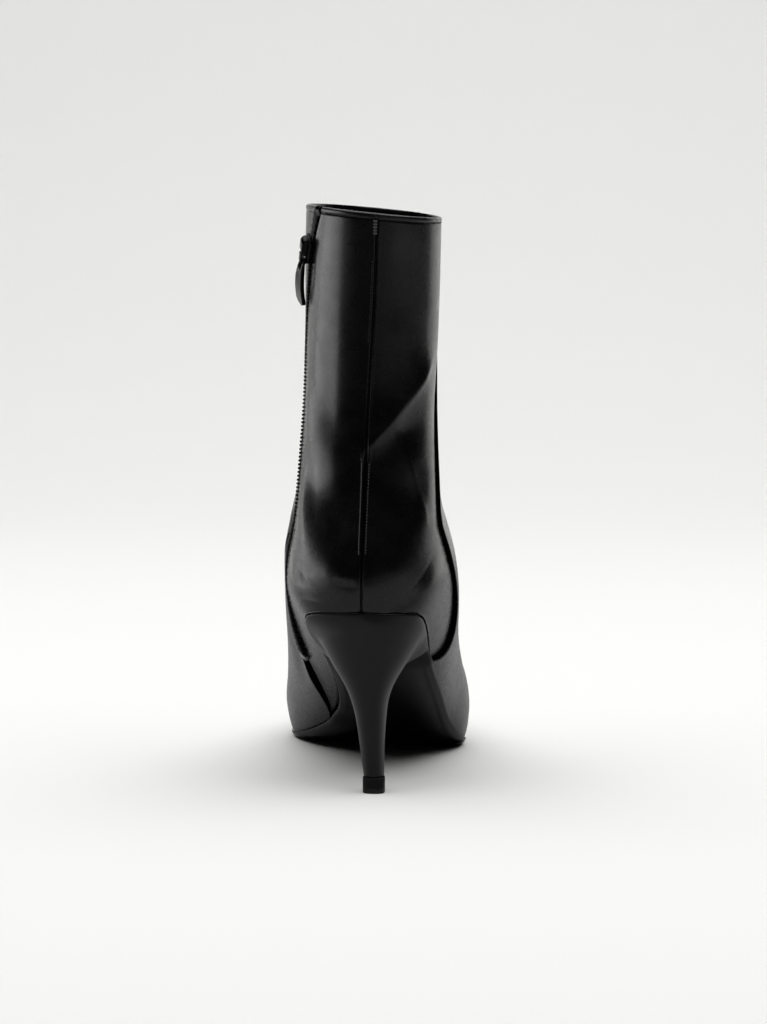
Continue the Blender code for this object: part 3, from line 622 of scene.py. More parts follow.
# The turned collar: how wide the fold is, how far it stands out, where its stitches run, how edges
# are rounded off, and how close the rows of faces lie below the rim and beside an edge
FOLD_WIDTH = 1.7
FOLD_RISE = 0.14
FOLD_EASE = 0.45
STITCH_DROP = 2.3
STITCH_GROOVE = (0.24, 0.36)
RIM_ROUND = 0.8
FOOT_ROUND = 0.7
RIM_STEPS = (0.0, 0.06, 0.15, 0.3, 0.5, 0.8, 1.1, 1.4, 1.65, 1.85, 2.05, 2.3, 2.55, 2.8, 3.1, 3.5)
RISE_PER_SHARE = 205.0
EDGE_STEPS = (0.0, 0.06, 0.16, 0.32, 0.55, 0.85, 1.3)


def collar_rows(low):
    """Shares from the feather line to the collar: even steps, then the close ones at the rim."""
    rim = 1.0 - np.array(RIM_STEPS[::-1]) / RISE_PER_SHARE
    return np.concatenate((low[low < rim[0] - 0.001], rim))


def collar_fold(drop):
    """The turned edge stands out along the rim, with the stitched groove under it."""
    fold = FOLD_RISE * (1.0 - ease((drop - FOLD_WIDTH) / FOLD_EASE))
    return fold - STITCH_GROOVE[0] * bell(drop - STITCH_DROP, STITCH_GROOVE[1])


def quarter_rows(count):
    """Rows of a quarter, half of them even along its edges and half even in height at the seam."""
    share = np.linspace(0.0, 1.0, 401)
    height = last_point(leg_section(share), np.ones_like(share))[:, 2]
    place = 0.5 * share + 0.5 * (height - height[0]) / (height[-1] - height[0])
    return collar_rows(np.interp(np.linspace(0.0, 1.0, count), place, share))


# The counter is pulled smooth over the heel: how many times its waves are eased, how far each
# time, and between which heights this fades out
RELAX_STEPS = 130
RELAX_SHARE = 0.9
COUNTER_SPAN = (102.0, 118.0)
# How far relief takes to fade in below the collar and above the foot, the bead along the zip's
# edge, how the leather thins at rounded edges, and how many rows and columns of faces there are
CALM_BELOW = 12.0
CALM_LEAST = 0.2
FLARE_FADE = 6.0
FOOT_FADE = 4.0
ZIP_BEAD = (0.18, 0.9, 0.7)
ZIP_ROUND = 0.55
LEAST_LEATHER = 0.3
INNER_ROLL = 0.4
QUARTER_ROWS = 290
QUARTER_COLUMNS = 91
COLUMN_GROWTH = 1.45
ZIP_SIDE_WIDTH = 55.0


def relaxed(points, amount):
    """Points with the waves along each column eased out, by an amount for each point."""
    points = points.copy()
    for _ in range(RELAX_STEPS):
        points[1:-1] += amount[1:-1] * ((points[2:] + points[:-2]) / 2 - points[1:-1])
    return points


def quarter_mesh(panel, from_seam, zip_edge):
    """One quarter, with columns closest at the seam."""
    up = quarter_rows(QUARTER_ROWS)
    flat = panel(from_seam[None, :], up[:, None])
    section, around = from_flat(flat)
    base = last_point(section, around)
    drop = base[-1:, :, 2] - base[:, :, 2]
    back = back_distance(flat)
    seam = back - SEAM_STRAY(section - HEEL_BACK)
    height = base[..., 2]
    rise = quarter_relief(seam, back, height) * ease(drop / CALM_BELOW + CALM_LEAST) + collar_fold(drop)
    to_foot = np.linalg.norm(base - base[:1], axis=2)
    rise += flare_rise(back, height) * ease(to_foot / FLARE_FADE)
    roll = np.maximum(edge_roll(drop, RIM_ROUND), edge_roll(to_foot, FOOT_ROUND))
    if zip_edge:
        to_edge = np.linalg.norm(flat - flat[:, -1:], axis=2)
        bead, aside, wide = ZIP_BEAD
        rise += bead * bell(to_edge - aside, wide)
        roll = np.maximum(roll, edge_roll(to_edge, ZIP_ROUND))
    amount = RELAX_SHARE * (1.0 - ease_over(height, COUNTER_SPAN)) * ease(to_foot / FOOT_FADE)
    eased = relaxed(base, amount[..., None]) - base
    depth = np.minimum(INNER_ROLL * roll - LEATHER, rise - roll - LEAST_LEATHER)
    return solid_between(
        skin(section, around, rise - roll) + eased, skin(section, around, depth) + eased
    )


seam_columns = np.linspace(0.0, 1.0, QUARTER_COLUMNS) ** COLUMN_GROWTH
zip_side = 1.0 - np.array(EDGE_STEPS[::-1]) / ZIP_SIDE_WIDTH
inner_columns = np.concatenate((seam_columns[seam_columns < zip_side[0] - 0.008], zip_side))
quarter_inner = add_piece(
    "quarter_inner", quarter_mesh(INNER_QUARTER, inner_columns, True), leather, "boot",
    "leather_black", "upper",
)
quarter_outer = add_piece(
    "quarter_outer", quarter_mesh(OUTER_QUARTER, 1.0 - seam_columns[::-1], False), leather,
    "boot", "leather_black", "upper",
)

# Back seam and collar stitching
# Black thread, sewn by machine: one row round the collar that holds its turned edge, and rows
# beside the back seam. Those on the lower ridges and the bar of cross stitches at the top are
# sewn in a lighter copy of the same thread, a painted highlight for the light they catch.
STITCH_PITCH = 1.3
THREAD = 0.5
SHORT_STITCH = 0.8
LONG_STITCH = 0.95
UPPER_ROW = (14.5, 15.45)
UPPER_ASIDE = -1.9
ROW_END = 0.02
COLLAR_LIFT = -0.12
UPPER_LIFT = 0.08


def thread_finish(name, darkest, lightest):
    made, shader, nodes = new_finish(name, specular_ior_level=0.3, roughness=0.38)
    twist = pattern(nodes, "Wave", 1.6, {"bands_direction": "DIAGONAL"}, distortion=1.0)
    tone = tones(nodes, twist, (0.0, darkest), (1.0, lightest))
    bump = relief(nodes, twist, 0.4, 0.05)
    feed(nodes, shader, base_color=tone, normal=bump)
    return made


thread = thread_finish("thread_black", 0.004, 0.014)
# The same black thread in a lighter colour: a painted highlight for the glints on the seam's stitches
highlight_thread = thread_finish("thread_painted_highlight", 0.03, 0.08)


def line_frames(flat, offset):
    """Centre, direction and outward direction at each flat place of a line."""
    section, around = from_flat(flat)
    centre = skin(section, around, np.broadcast_to(offset, section.shape))
    out = skin(section, around, np.broadcast_to(offset, section.shape) + 1.0) - centre
    along = np.gradient(centre, axis=0)
    along -= out * np.sum(along * out, axis=1, keepdims=True)
    along /= np.linalg.norm(along, axis=1, keepdims=True)
    return centre, along, out


def even_steps(flat, pitch):
    """Flat places at an even pitch on the last, along a line of flat places."""
    run = run_length(last_point(*from_flat(flat)))
    return between(np.arange(pitch / 2, run[-1], pitch), run, flat)


def turned_to(centre, *directions):
    """Matrix that takes X, Y and Z to three directions, at a place."""
    return Matrix.Translation(centre) @ Matrix(directions).transposed().to_4x4()


def sew(bm, centre, along, out, length, width):
    """Add one stitch: a bead of thread that lies along the line."""
    side = np.cross(along, out)
    place = turned_to(centre, side * width / 2, out * width / 2, along * length / 2)
    bmesh.ops.create_uvsphere(bm, u_segments=8, v_segments=5, radius=1.0, matrix=place)


def collar_line(around):
    """Flat places under the collar's rim, at the drop of its stitches."""
    top = last_point(np.full_like(around, COLLAR), around)[:, 2]
    lower = last_point(np.full_like(around, COLLAR - 0.1), around)[:, 2]
    return to_flat(COLLAR - 0.1 * STITCH_DROP / (top - lower), around)


stitches = bmesh.new()
inner_top = from_flat(quarter_edge(np.array(1.0)))[1]
rows = [
    (collar_line(np.linspace(start, end, 60)), COLLAR_LIFT, SHORT_STITCH)
    for start, end in ((inner_top - ROW_END, -0.999), (0.999, OUTER_LAP[-1][1] + ROW_END))
]
rows.append((seam_place(np.linspace(*UPPER_ROW, 80), UPPER_ASIDE), UPPER_LIFT, LONG_STITCH))
for line, lift, length in rows:
    for centre, along, out in zip(*line_frames(even_steps(line, STITCH_PITCH), lift)):
        sew(stitches, centre, along, out, length, THREAD)
add_piece("upper_stitches", stitches, thread, "boot", "leather_black")

# Rows on the ridges beside the lower seam: leather, distance from it, pitch, length of a stitch
RIDGE_ROWS = ((quarter_inner, -2.1, 0.9, 1.0), (quarter_outer, 2.0, STITCH_PITCH, 0.85))
RIDGE_SPAN = (12.1, 13.0)
RIDGE_LIFT = 0.06
WELL_ABOVE = 4.0
BAR_SPAN = (15.74, 15.93)
BAR_ASIDE = -1.0
BAR_PITCH = 1.25
BAR_STITCHES = 5
BAR_SIZE = (1.9, 1.05)
BAR_LIFT = 0.15


def face_tree(piece):
    """Search tree of a finished piece's faces."""
    corners = [vertex.co for vertex in piece.data.vertices]
    return BVHTree.FromPolygons(corners, [face.vertices[:] for face in piece.data.polygons])


seam_stitches = bmesh.new()
for leather_piece, aside, pitch, length in RIDGE_ROWS:
    tree = face_tree(leather_piece)
    path = even_steps(seam_place(np.linspace(*RIDGE_SPAN, 80), aside), pitch)
    for above, along, out in zip(*line_frames(path, WELL_ABOVE)):
        met = tree.ray_cast(Vector(above * MM), Vector(-out))[0]
        sew(seam_stitches, np.array(met) / MM + RIDGE_LIFT * out, along, out, length, THREAD)
bar = even_steps(seam_place(np.linspace(*BAR_SPAN, 30), BAR_ASIDE), BAR_PITCH)[:BAR_STITCHES]
for centre, along, out in zip(*line_frames(bar, BAR_LIFT)):
    sew(seam_stitches, centre, np.cross(along, out), out, *BAR_SIZE)
# The seam's stitches take the lighter thread, a painted highlight
add_piece("seam_stitches", seam_stitches, highlight_thread, "boot", "leather_black")

# Front piece
# The vamp and the front of the shaft in one panel of the same leather. Its folded edges lap over
# the quarters on both sides, and it is pared thin where the zip is sewn in.
LAP = 1.7
ZIP_PARE = 1.3
PARE_SPAN = (0.13, 0.20)
PARE_REACH = 0.16
WALL = 1.8
FRONT_LINING = 0.3
LINING_BLEND = 0.25
LINING = 0.5
LAP_ROUND = 0.35
FRONT_WIDTH = 95.0
FRONT_ROWS = 232
ROW_GROWTH = 1.25
FRONT_COLUMNS = 76

ridge = flat_line([(row, 0.0) for row in range(COLLAR + 1)])
INNER_FRONT = coons(
    inner_lap, ridge,
    straight_line((INNER_LAP[0][0], -1.0), (0.0, -1.0)),
    straight_line((COLLAR, INNER_LAP[-1][1]), (COLLAR, 0.0)),
)
OUTER_FRONT = coons(
    ridge, outer_lap,
    straight_line((0.0, 1.0), (OUTER_LAP[0][0], 1.0)),
    straight_line((COLLAR, 0.0), (COLLAR, OUTER_LAP[-1][1])),
)

# Soft creases across the vamp and the instep: distance along the ridge from the toe, width, rise
VAMP_CREASES = ((104.0, 5.0, -0.35), (114.0, 5.5, 0.25), (126.0, 6.0, -0.30), (168.0, 9.0, -0.50),
                (184.0, 8.0, 0.35), (202.0, 9.0, -0.40))
CREASE_BEND = 0.12
CREASE_REACH = (22.0, 58.0)
CREASE_FADE = 10.0
FOLD_SHARE = 0.7
LINING_CLEAR = 0.05


def lining_depth(near_lap):
    """How deep the upper's inside lies under the last's surface, at a share of half the front."""
    return WALL + (FRONT_LINING - WALL) * np.clip(near_lap / LINING_BLEND, 0.0, 1.0)


def front_mesh():
    up = collar_rows(np.linspace(0.0, 1.0, FRONT_ROWS) ** ROW_GROWTH)[:, None]
    edge = np.array(EDGE_STEPS) / FRONT_WIDTH
    half = np.concatenate((edge, np.linspace(0.0, 1.0, FRONT_COLUMNS)[2:]))
    pieces = []
    for panel, near_lap, across, pared in (
        (INNER_FRONT, half, half, ZIP_PARE),
        (OUTER_FRONT, half[::-1][1:], 1.0 - half[::-1][1:], 0.0),
    ):
        flat = panel(across[None, :], up)
        section, around = from_flat(flat)
        base = last_point(section, around)
        drop = base[-1:, :, 2] - base[:, :, 2]
        lap_edge = panel(0.0 if panel is INNER_FRONT else 1.0, up)
        to_edge = np.linalg.norm(flat - lap_edge, axis=2)
        thin = pared * ease_over(up, PARE_SPAN)
        proud = LAP - thin * (1.0 - ease(near_lap / PARE_REACH))
        rise = 0.0
        from_ridge = np.abs(flat[..., 0])
        for place, width, height in VAMP_CREASES:
            bent = flat[..., 1] - place - CREASE_BEND * from_ridge
            rise = rise + height * (1.0 - ease_over(from_ridge, CREASE_REACH)) * bell(bent, width)
        rise = rise * ease(to_edge / CREASE_FADE) + FOLD_SHARE * collar_fold(drop)
        roll = np.maximum(edge_roll(drop, RIM_ROUND), edge_roll(to_edge, np.minimum(LAP_ROUND, proud)))
        outer = skin(section, around, proud + rise - roll)
        depth = np.broadcast_to(lining_depth(near_lap) - LINING - LINING_CLEAR, section.shape)
        inner = skin(section, around, -depth + INNER_ROLL * edge_roll(drop, RIM_ROUND))
        pieces.append((outer, inner))
    (outer_a, inner_a), (outer_b, inner_b) = pieces
    bm = solid_between(np.hstack((outer_a, outer_b)), np.hstack((inner_a, inner_b)))
    column_of = bm.verts.layers.int["column"]
    for face in bm.faces:
        if len({vertex[column_of] for vertex in face.verts}) == 1:
            face.material_index = 1
    return bm


def edge_finish():
    """The painted cut edge of the leather, matt and blacker than its face."""
    made, shader, nodes = new_finish("edge_paint", specular_ior_level=0.0)
    fibre = pattern(nodes, "Noise", 0.4, detail=3.0)
    tone = tones(nodes, fibre, (0.3, 0.0008), (0.8, 0.002))
    bump = relief(nodes, fibre, 0.4, 0.04)
    feed(nodes, shader, base_color=tone, roughness=0.55 + 0.3 * fibre, normal=bump)
    return made


front_piece = add_piece("front_piece", front_mesh(), leather, "boot", "leather_black", "upper")
front_piece.data.materials.append(edge_finish())

# Lining
# Thin black lining cloth, glued inside the leather from the insole to the collar and carried
# behind the zip as its guard.
LINING_TOP = 0.994


def lining_finish():
    made, shader, nodes = new_finish("lining_cloth", specular_ior_level=0.0)
    knit = pattern(nodes, "Voronoi", 0.8)
    cloud = pattern(nodes, "Noise", 9.0, detail=3.0)
    tone = tones(nodes, cloud, (0.2, 0.002), (0.8, 0.005))
    bump = relief(nodes, knit, 0.5, 0.08)
    feed(nodes, shader, base_color=tone, roughness=0.75 + 0.15 * cloud, normal=bump)
    return made


def lining_mesh():
    up = (np.linspace(0.0, 1.0, 90) * LINING_TOP)[:, None]
    quarter = np.linspace(0.0, 1.0, 25)
    front = np.linspace(0.0, 1.0, 31)
    outer, inner = [], []
    for panel, across, near_lap in (
        (INNER_QUARTER, quarter, 0.0 * quarter), (INNER_FRONT, front, front),
        (OUTER_FRONT, front[1:], 1.0 - front[1:]), (OUTER_QUARTER, quarter[1:], 0.0 * quarter[1:]),
    ):
        flat = panel(across[None, :], up)
        section, around = from_flat(flat)
        hollow = hollow_depth(back_distance(flat), last_point(section, around)[..., 2])
        depth = lining_depth(near_lap) + hollow
        outer.append(skin(section, around, LINING - depth))
        inner.append(skin(section, around, -depth))
    return solid_between(np.hstack(outer), np.hstack(inner))


add_piece("shaft_lining", lining_mesh(), lining_finish(), "boot", "leather_black", "upper")

# Zip tape
# Woven black tape, sewn under both edges of the slot from its foot up to the collar. It carries the
# teeth along its middle.
ZIP_END = 0.185
TAPE_TOP = 0.996
TAPE_DEPTH = (-0.85, -1.2)


def tape_finish():
    made, shader, nodes = new_finish("zip_tape", specular_ior_level=0.0)
    weave = pattern(nodes, "Wave", 3.2, {"bands_direction": "DIAGONAL"}, distortion=0.6)
    tone = tones(nodes, weave, (0.1, 0.002), (0.9, 0.007))
    bump = relief(nodes, weave, 0.6, 0.1)
    feed(nodes, shader, base_color=tone, roughness=0.7 + 0.15 * weave, normal=bump)
    return made


def tape_mesh():
    up = np.linspace(ZIP_END - 0.012, TAPE_TOP, 220)[:, None]
    across = np.linspace(-0.01, 1.01, 13)[None, :, None]
    flat = (1.0 - across) * quarter_edge(up) + across * inner_lap(up)
    section, around = from_flat(flat)
    return solid_between(*(skin(section, around, np.full(section.shape, depth)) for depth in TAPE_DEPTH))


add_piece("zip_tape", tape_mesh(), tape_finish(), "boot", "zip_black", "zip_chain")

# Zip teeth
# Rungs of smooth black nylon, sewn to the two halves of the tape by turns, so that they lock across
# its middle. The row runs from the stop up to the collar.
STOP_END = 0.201
TEETH_TOP = 0.992
TOOTH_PITCH = 1.6
TOOTH_WIDTH = 5.2
TOOTH_LENGTH = 0.86
TOOTH_HEIGHT = 2.3
TOOTH_STAGGER = 0.3
TOOTH_LIFT = -0.1
TOOTH_ROUND = 0.3


def zip_place(up):
    """Flat place in the middle of the zip."""
    return inner_lap(up) - np.array((SLOT_WIDTH / 2, 0.0))


def coil_finish():
    made, shader, nodes = new_finish("zip_coil", specular_ior_level=0.18)
    wear = pattern(nodes, "Noise", 1.5, detail=3.0)
    tone = tones(nodes, wear, (0.3, 0.001), (0.8, 0.004))
    feed(nodes, shader, base_color=tone, roughness=0.28 + 0.2 * wear)
    return made


def round_edges(bm, edges, offset, segments):
    """Round edges off evenly."""
    bmesh.ops.bevel(
        bm, geom=edges, offset=offset, segments=segments, profile=0.5, affect="EDGES", material=-1
    )


teeth = bmesh.new()
path = even_steps(zip_place(np.linspace(STOP_END, TEETH_TOP, 400)), TOOTH_PITCH)
for index, (centre, along, out) in enumerate(zip(*line_frames(path, TOOTH_LIFT))):
    side = np.cross(along, out)
    shift = TOOTH_STAGGER if index % 2 else -TOOTH_STAGGER
    shape = (side * TOOTH_WIDTH, along * TOOTH_LENGTH, out * TOOTH_HEIGHT)
    rung = bmesh.ops.create_cube(teeth, size=1.0, matrix=turned_to(centre + side * shift, *shape))
    edges = {edge for vertex in rung["verts"] for edge in vertex.link_edges}
    round_edges(teeth, list(edges), TOOTH_ROUND, 2)
add_piece("zip_teeth", teeth, coil_finish(), "boot", "zip_black", "zip_chain")

# Zip stop
# A staple of bare grey metal, bent from strip and clamped over the lower end of the teeth, so that
# the slider can't run off them.
STAPLE = (5.0, 2.6, 2.1)
STAPLE_ROUND = 0.6


def staple_finish():
    made, shader, nodes = new_finish("stop_metal", metallic=1.0)
    rub = pattern(nodes, "Noise", 0.8, detail=3.0)
    tone = tones(nodes, rub, (0.3, 0.16), (0.7, (0.34, 0.34, 0.33)))
    feed(nodes, shader, base_color=tone, roughness=0.2 + 0.25 * rub)
    return made


staple = bmesh.new()
path = zip_place(np.linspace(ZIP_END + 0.004, STOP_END - 0.003, 3))
centre, along, out = (column[1] for column in line_frames(path, 0.0))
wide, long, tall = STAPLE
shape = (np.cross(along, out) * wide, along * long, out * tall)
bmesh.ops.create_cube(staple, size=1.0, matrix=turned_to(centre, *shape))
round_edges(staple, staple.edges[:], STAPLE_ROUND, 4)
add_piece("stop_staple", staple, staple_finish(), "boot", "stop_metal", "zip_stop")

# Slider
# A die-cast slider in glossy black enamel: a tapered plate over the teeth, on it the bridge that
# holds the pull, and a rounded cap that covers the bridge's upper end.
SLIDER_AT = 0.914
SLIDER_LENGTH = 12.4
SLIDER_TOP_WIDTH = 9.0
SLIDER_FOOT_WIDTH = 6.6
PLATE_FLOOR = 1.0
PLATE_TOP = 2.55
PLATE_CROWN = 0.35
PLATE_STRAIGHT = 0.62
PLATE_TAPER = 0.75
PLATE_ROUND = 0.35
BRIDGE_WIDTH = 3.0
BRIDGE_OPENING = 1.5
BRIDGE_THICKNESS = 0.9
BRIDGE_ENDS = (-6.5, 4.8)
CAP_WIDTH = 4.8
CAP_START = -2.4
BRIDGE_ROUND = 0.24
CAP_ROUND = 0.45


def enamel_finish():
    made, shader, nodes = new_finish("enamel_black", specular_ior_level=0.1)
    wear = pattern(nodes, "Noise", 2.2, detail=4.0)
    tone = tones(nodes, wear, (0.35, 0.001), (0.8, 0.003))
    bump = relief(nodes, wear, 0.25, 0.03)
    feed(nodes, shader, base_color=tone, roughness=0.10 + 0.12 * wear, normal=bump)
    return made


enamel = enamel_finish()


def zip_frame(share):
    """Place on the zip: X across it, Y along it towards the collar, Z out from the upper."""
    section, around = from_flat(zip_place(np.array((share - NUDGE, share, share + NUDGE))))
    centre = skin(section, around)
    along = centre[2] - centre[0]
    along /= np.linalg.norm(along)
    out = skin(section[1], around[1], 1.0) - centre[1]
    out -= along * out.dot(along)
    out /= np.linalg.norm(out)
    return turned_to(centre[1], np.cross(along, out), along, out)


slider_frame = zip_frame(SLIDER_AT)


def add_prism(bm, outline, width, round_off):
    """Add an outline in the (along, out) plane, extruded across the zip, with rounded edges."""
    made = bmesh.new()
    made.faces.new([made.verts.new((-width / 2, along, out)) for along, out in outline])
    bmesh.ops.translate(made, vec=(width, 0.0, 0.0), verts=second_skin(made))
    bmesh.ops.recalc_face_normals(made, faces=made.faces[:])
    round_edges(made, made.edges[:], round_off, 3)
    holder = bpy.data.meshes.new("prism")
    made.to_mesh(holder)
    made.free()
    bm.from_mesh(holder)
    bpy.data.meshes.remove(holder)


def round_rim(bm, sharper, offset, segments):
    """Turn faces outwards, and round off the edges that bend by more than an angle in radians."""
    bmesh.ops.recalc_face_normals(bm, faces=bm.faces[:])
    rim = [edge for edge in bm.edges if edge.calc_face_angle(0.0) > sharper]
    round_edges(bm, rim, offset, segments)


def slider_mesh():
    """Plate, bridge and cap in the zip's own frame, all with rounded edges."""
    bm = bmesh.new()
    bmesh.ops.create_grid(bm, x_segments=8, y_segments=14, size=1.0)
    for vertex in bm.verts:
        share = (vertex.co.y + 1) / 2
        half = (SLIDER_FOOT_WIDTH + (SLIDER_TOP_WIDTH - SLIDER_FOOT_WIDTH) * ease(share)) / 2
        past = max(abs(vertex.co.y) - PLATE_STRAIGHT, 0.0) / (1.0 - PLATE_STRAIGHT)
        x = vertex.co.x * half * math.sqrt(1.0 - PLATE_TAPER * past ** 2)
        vertex.co = (x, vertex.co.y * SLIDER_LENGTH / 2, PLATE_TOP - PLATE_CROWN * (x / half) ** 2)
    for vertex in second_skin(bm):
        vertex.co.z = PLATE_FLOOR
    round_rim(bm, 0.8, PLATE_ROUND, 3)
    near, far = BRIDGE_ENDS
    buried = PLATE_TOP - 0.6
    under = PLATE_TOP + BRIDGE_OPENING
    crown = under + BRIDGE_THICKNESS
    leg = near + BRIDGE_THICKNESS
    add_prism(bm, (
        (near, buried), (near, under + 0.1), (near + 0.4, crown - 0.2), (near + 1.2, crown),
        (CAP_START + 0.6, crown), (CAP_START + 0.6, under), (leg, under), (leg, buried),
    ), BRIDGE_WIDTH, BRIDGE_ROUND)
    add_prism(bm, (
        (CAP_START, buried), (CAP_START, under - 0.4), (CAP_START + 2.0, crown), (far - 1.2, crown),
        (far - 0.2, crown - 0.6), (far + 0.4, under - 0.4), (far + 0.6, buried),
    ), CAP_WIDTH, CAP_ROUND)
    bmesh.ops.transform(bm, matrix=slider_frame, verts=bm.verts[:])
    return bm


add_piece("slider_body", slider_mesh(), enamel, "boot", "slider_black_metal", "zip_slider", sharp=35.0)

# Pull
# A stamped tab in the same enamel, bent in a shallow bow. Its eye hangs on the slider's bridge,
# and it swings with the pull's hinge.
HINGE_ALONG = -4.5
EYE_BAR = 1.0
EYE_HALF_WIDTH = 1.7
EYE_LENGTH = 4.8
EYE_ROWS = set(range(2, 13))
EYE_COLUMNS = set(range(3, 10))
PULL_LENGTH = 21.6
PULL_NECK_HALF = 2.9
PULL_END_HALF = 3.7
PULL_TIP = 2.0
PULL_TIP_TAPER = 0.4
PULL_THICKNESS = 1.7
PULL_BOW = 1.1
PULL_LEAN = 1.3
PULL_TWIST = math.radians(-11.0)
PULL_ROUND = 0.18


def pull_mesh():
    hinge = PLATE_TOP + BRIDGE_OPENING / 2
    half_bar = EYE_BAR / 2
    shoulder = PULL_LENGTH - PULL_TIP
    down = np.concatenate((
        np.linspace(-half_bar, half_bar, 3), np.linspace(half_bar, EYE_LENGTH, 11)[1:],
        np.linspace(EYE_LENGTH, shoulder, 15)[1:],
        shoulder + PULL_TIP * np.sin(np.linspace(0.0, math.pi / 2, 7))[1:],
    ))
    half_width = np.interp(down, (EYE_LENGTH, shoulder), (PULL_NECK_HALF, PULL_END_HALF))
    past = np.clip((down - shoulder) / PULL_TIP, 0.0, 1.0)
    half_width *= 1.0 - PULL_TIP_TAPER * past ** 2
    thickness = np.interp(down, (half_bar, EYE_LENGTH), (EYE_BAR, PULL_THICKNESS))
    share = np.clip(down / PULL_LENGTH, 0.0, 1.0)
    middle = PULL_BOW * np.sin(math.pi * share) - PULL_LEAN * share
    eye = (EYE_HALF_WIDTH / np.maximum(half_width, EYE_HALF_WIDTH))[:, None]
    even = np.linspace(0.0, 1.0, 4)
    right = np.concatenate((eye * even[:-1], eye + (1 - eye) * even), axis=1)
    across = np.concatenate((-right[:, :0:-1], right), axis=1) * half_width[:, None]
    twist = PULL_TWIST * ease(share * 2.0)[:, None]
    along = np.broadcast_to(-down[:, None], across.shape)
    sides = []
    for side in (0.5, -0.5):
        off = side * thickness[:, None]
        aside = across * np.cos(twist) - off * np.sin(twist)
        out = middle[:, None] + across * np.sin(twist) + off * np.cos(twist)
        sides.append(np.stack((aside, along, out), axis=-1))
    bm = solid_between(*sides)
    row_of = bm.verts.layers.int["row"]
    column_of = bm.verts.layers.int["column"]
    hole = [
        face for face in bm.faces
        if {vertex[row_of] for vertex in face.verts} <= EYE_ROWS
        and {vertex[column_of] for vertex in face.verts} <= EYE_COLUMNS
    ]
    bmesh.ops.delete(bm, geom=hole, context="FACES")
    bmesh.ops.bridge_loops(bm, edges=[edge for edge in bm.edges if edge.is_boundary])
    round_rim(bm, 0.9, PULL_ROUND, 3)
    place = slider_frame @ Matrix.Translation((0.0, HINGE_ALONG, hinge))
    bmesh.ops.transform(bm, matrix=place, verts=bm.verts[:])
    return bm


add_piece("pull_tab", pull_mesh(), enamel, "pull", "slider_black_metal", "zip_pull", sharp=40.0)

# Insole
# The board the foot stands on, covered with a thin black sock of soft sheet. It lies inside the
# upper's lower edge, glued over the sole.
GAP = 0.3
INSOLE_THICKNESS = 1.8
INSOLE_TIP = 0.8
INSOLE_BACK = 9.88
LAP_FADE = 0.35


def sole_edge(section, side):
    """Lower edge of the upper, which the sole and the insole follow."""
    foot = INNER_LAP[0][0] if side < 0 else OUTER_LAP[0][0]
    proud = LAP * (1.0 - ease((section - foot) / LAP_FADE))
    return skin(section, np.full_like(section, side), proud)


def sock_finish():
    made, shader, nodes = new_finish("sock_black", sheen_weight=0.15)
    grain = pattern(nodes, "Voronoi", 1.1)
    cloud = pattern(nodes, "Noise", 14.0, detail=4.0)
    tone = tones(nodes, cloud, (0.2, 0.010), (0.8, (0.022, 0.022, 0.023)))
    bump = relief(nodes, grain, 0.4, 0.06)
    feed(nodes, shader, base_color=tone, roughness=0.6 + 0.2 * cloud, normal=bump)
    return made


def insole_mesh():
    section = np.linspace(INSOLE_TIP, INSOLE_BACK, 120)
    share = 0.5 - 0.5 * np.cos(np.linspace(0.0, math.pi, 25))
    depth = np.full_like(section, -(WALL + 2 * GAP))
    edges = []
    for side in (-1.0, 1.0):
        edge = skin(section, np.full_like(section, side), depth)
        edge[:, 2] = sole_edge(section, side)[:, 2]
        edges.append(edge)
    inner, outer = edges
    bottom = inner[:, None] + (outer - inner)[:, None] * share[None, :, None]
    top = bottom.copy()
    top[..., 2] += INSOLE_THICKNESS - 0.5 + 0.5 * np.sin(math.pi * share) ** 0.4
    return solid_between(top, bottom)


add_piece("sock_board", insole_mesh(), sock_finish(), "boot", "insole_black", "insole")

# Outsole
# A thin moulded sole in smooth black, cemented under the upper: flat where it treads, domed through
# the arch, and rounded to a fine edge.
SOLE_THICKNESS = 4.4
SOLE_EDGE = 1.7
SOLE_ROUND = 9.0
WAIST_THICKNESS = 2.6
WAIST_SPAN = (4.5, 5.7)
WAIST_DOME = 2.6
DOME_SPAN = (3.7, 5.7)
SOLE_LIP = 0.9
SOLE_BEVEL = 0.9
SOLE_TIP = 0.06
SEAM_WIDTH = 2.6
BOND = 0.12
BOND_EASE = 0.8
SOLE_CORNER = 0.22
SOLE_END = 7.345
LIP_SPAN = (6.0, SOLE_END)


def sole_finish():
    made, shader, nodes = new_finish("sole_black", specular_ior_level=0.22)
    speck = pattern(nodes, "Noise", 0.7, detail=3.0)
    cloud = pattern(nodes, "Noise", 20.0, detail=4.0)
    ribs = pattern(nodes, "Wave", 8.0, {"bands_direction": "Y"}, distortion=0.4)
    tone = tones(nodes, 0.6 * cloud + 0.4 * speck, (0.25, 0.0012), (0.8, 0.003))
    bump = relief(nodes, speck + 0.5 * ribs, 0.3, 0.03)
    feed(nodes, shader, base_color=tone, roughness=0.17 + 0.1 * cloud, normal=bump)
    return made


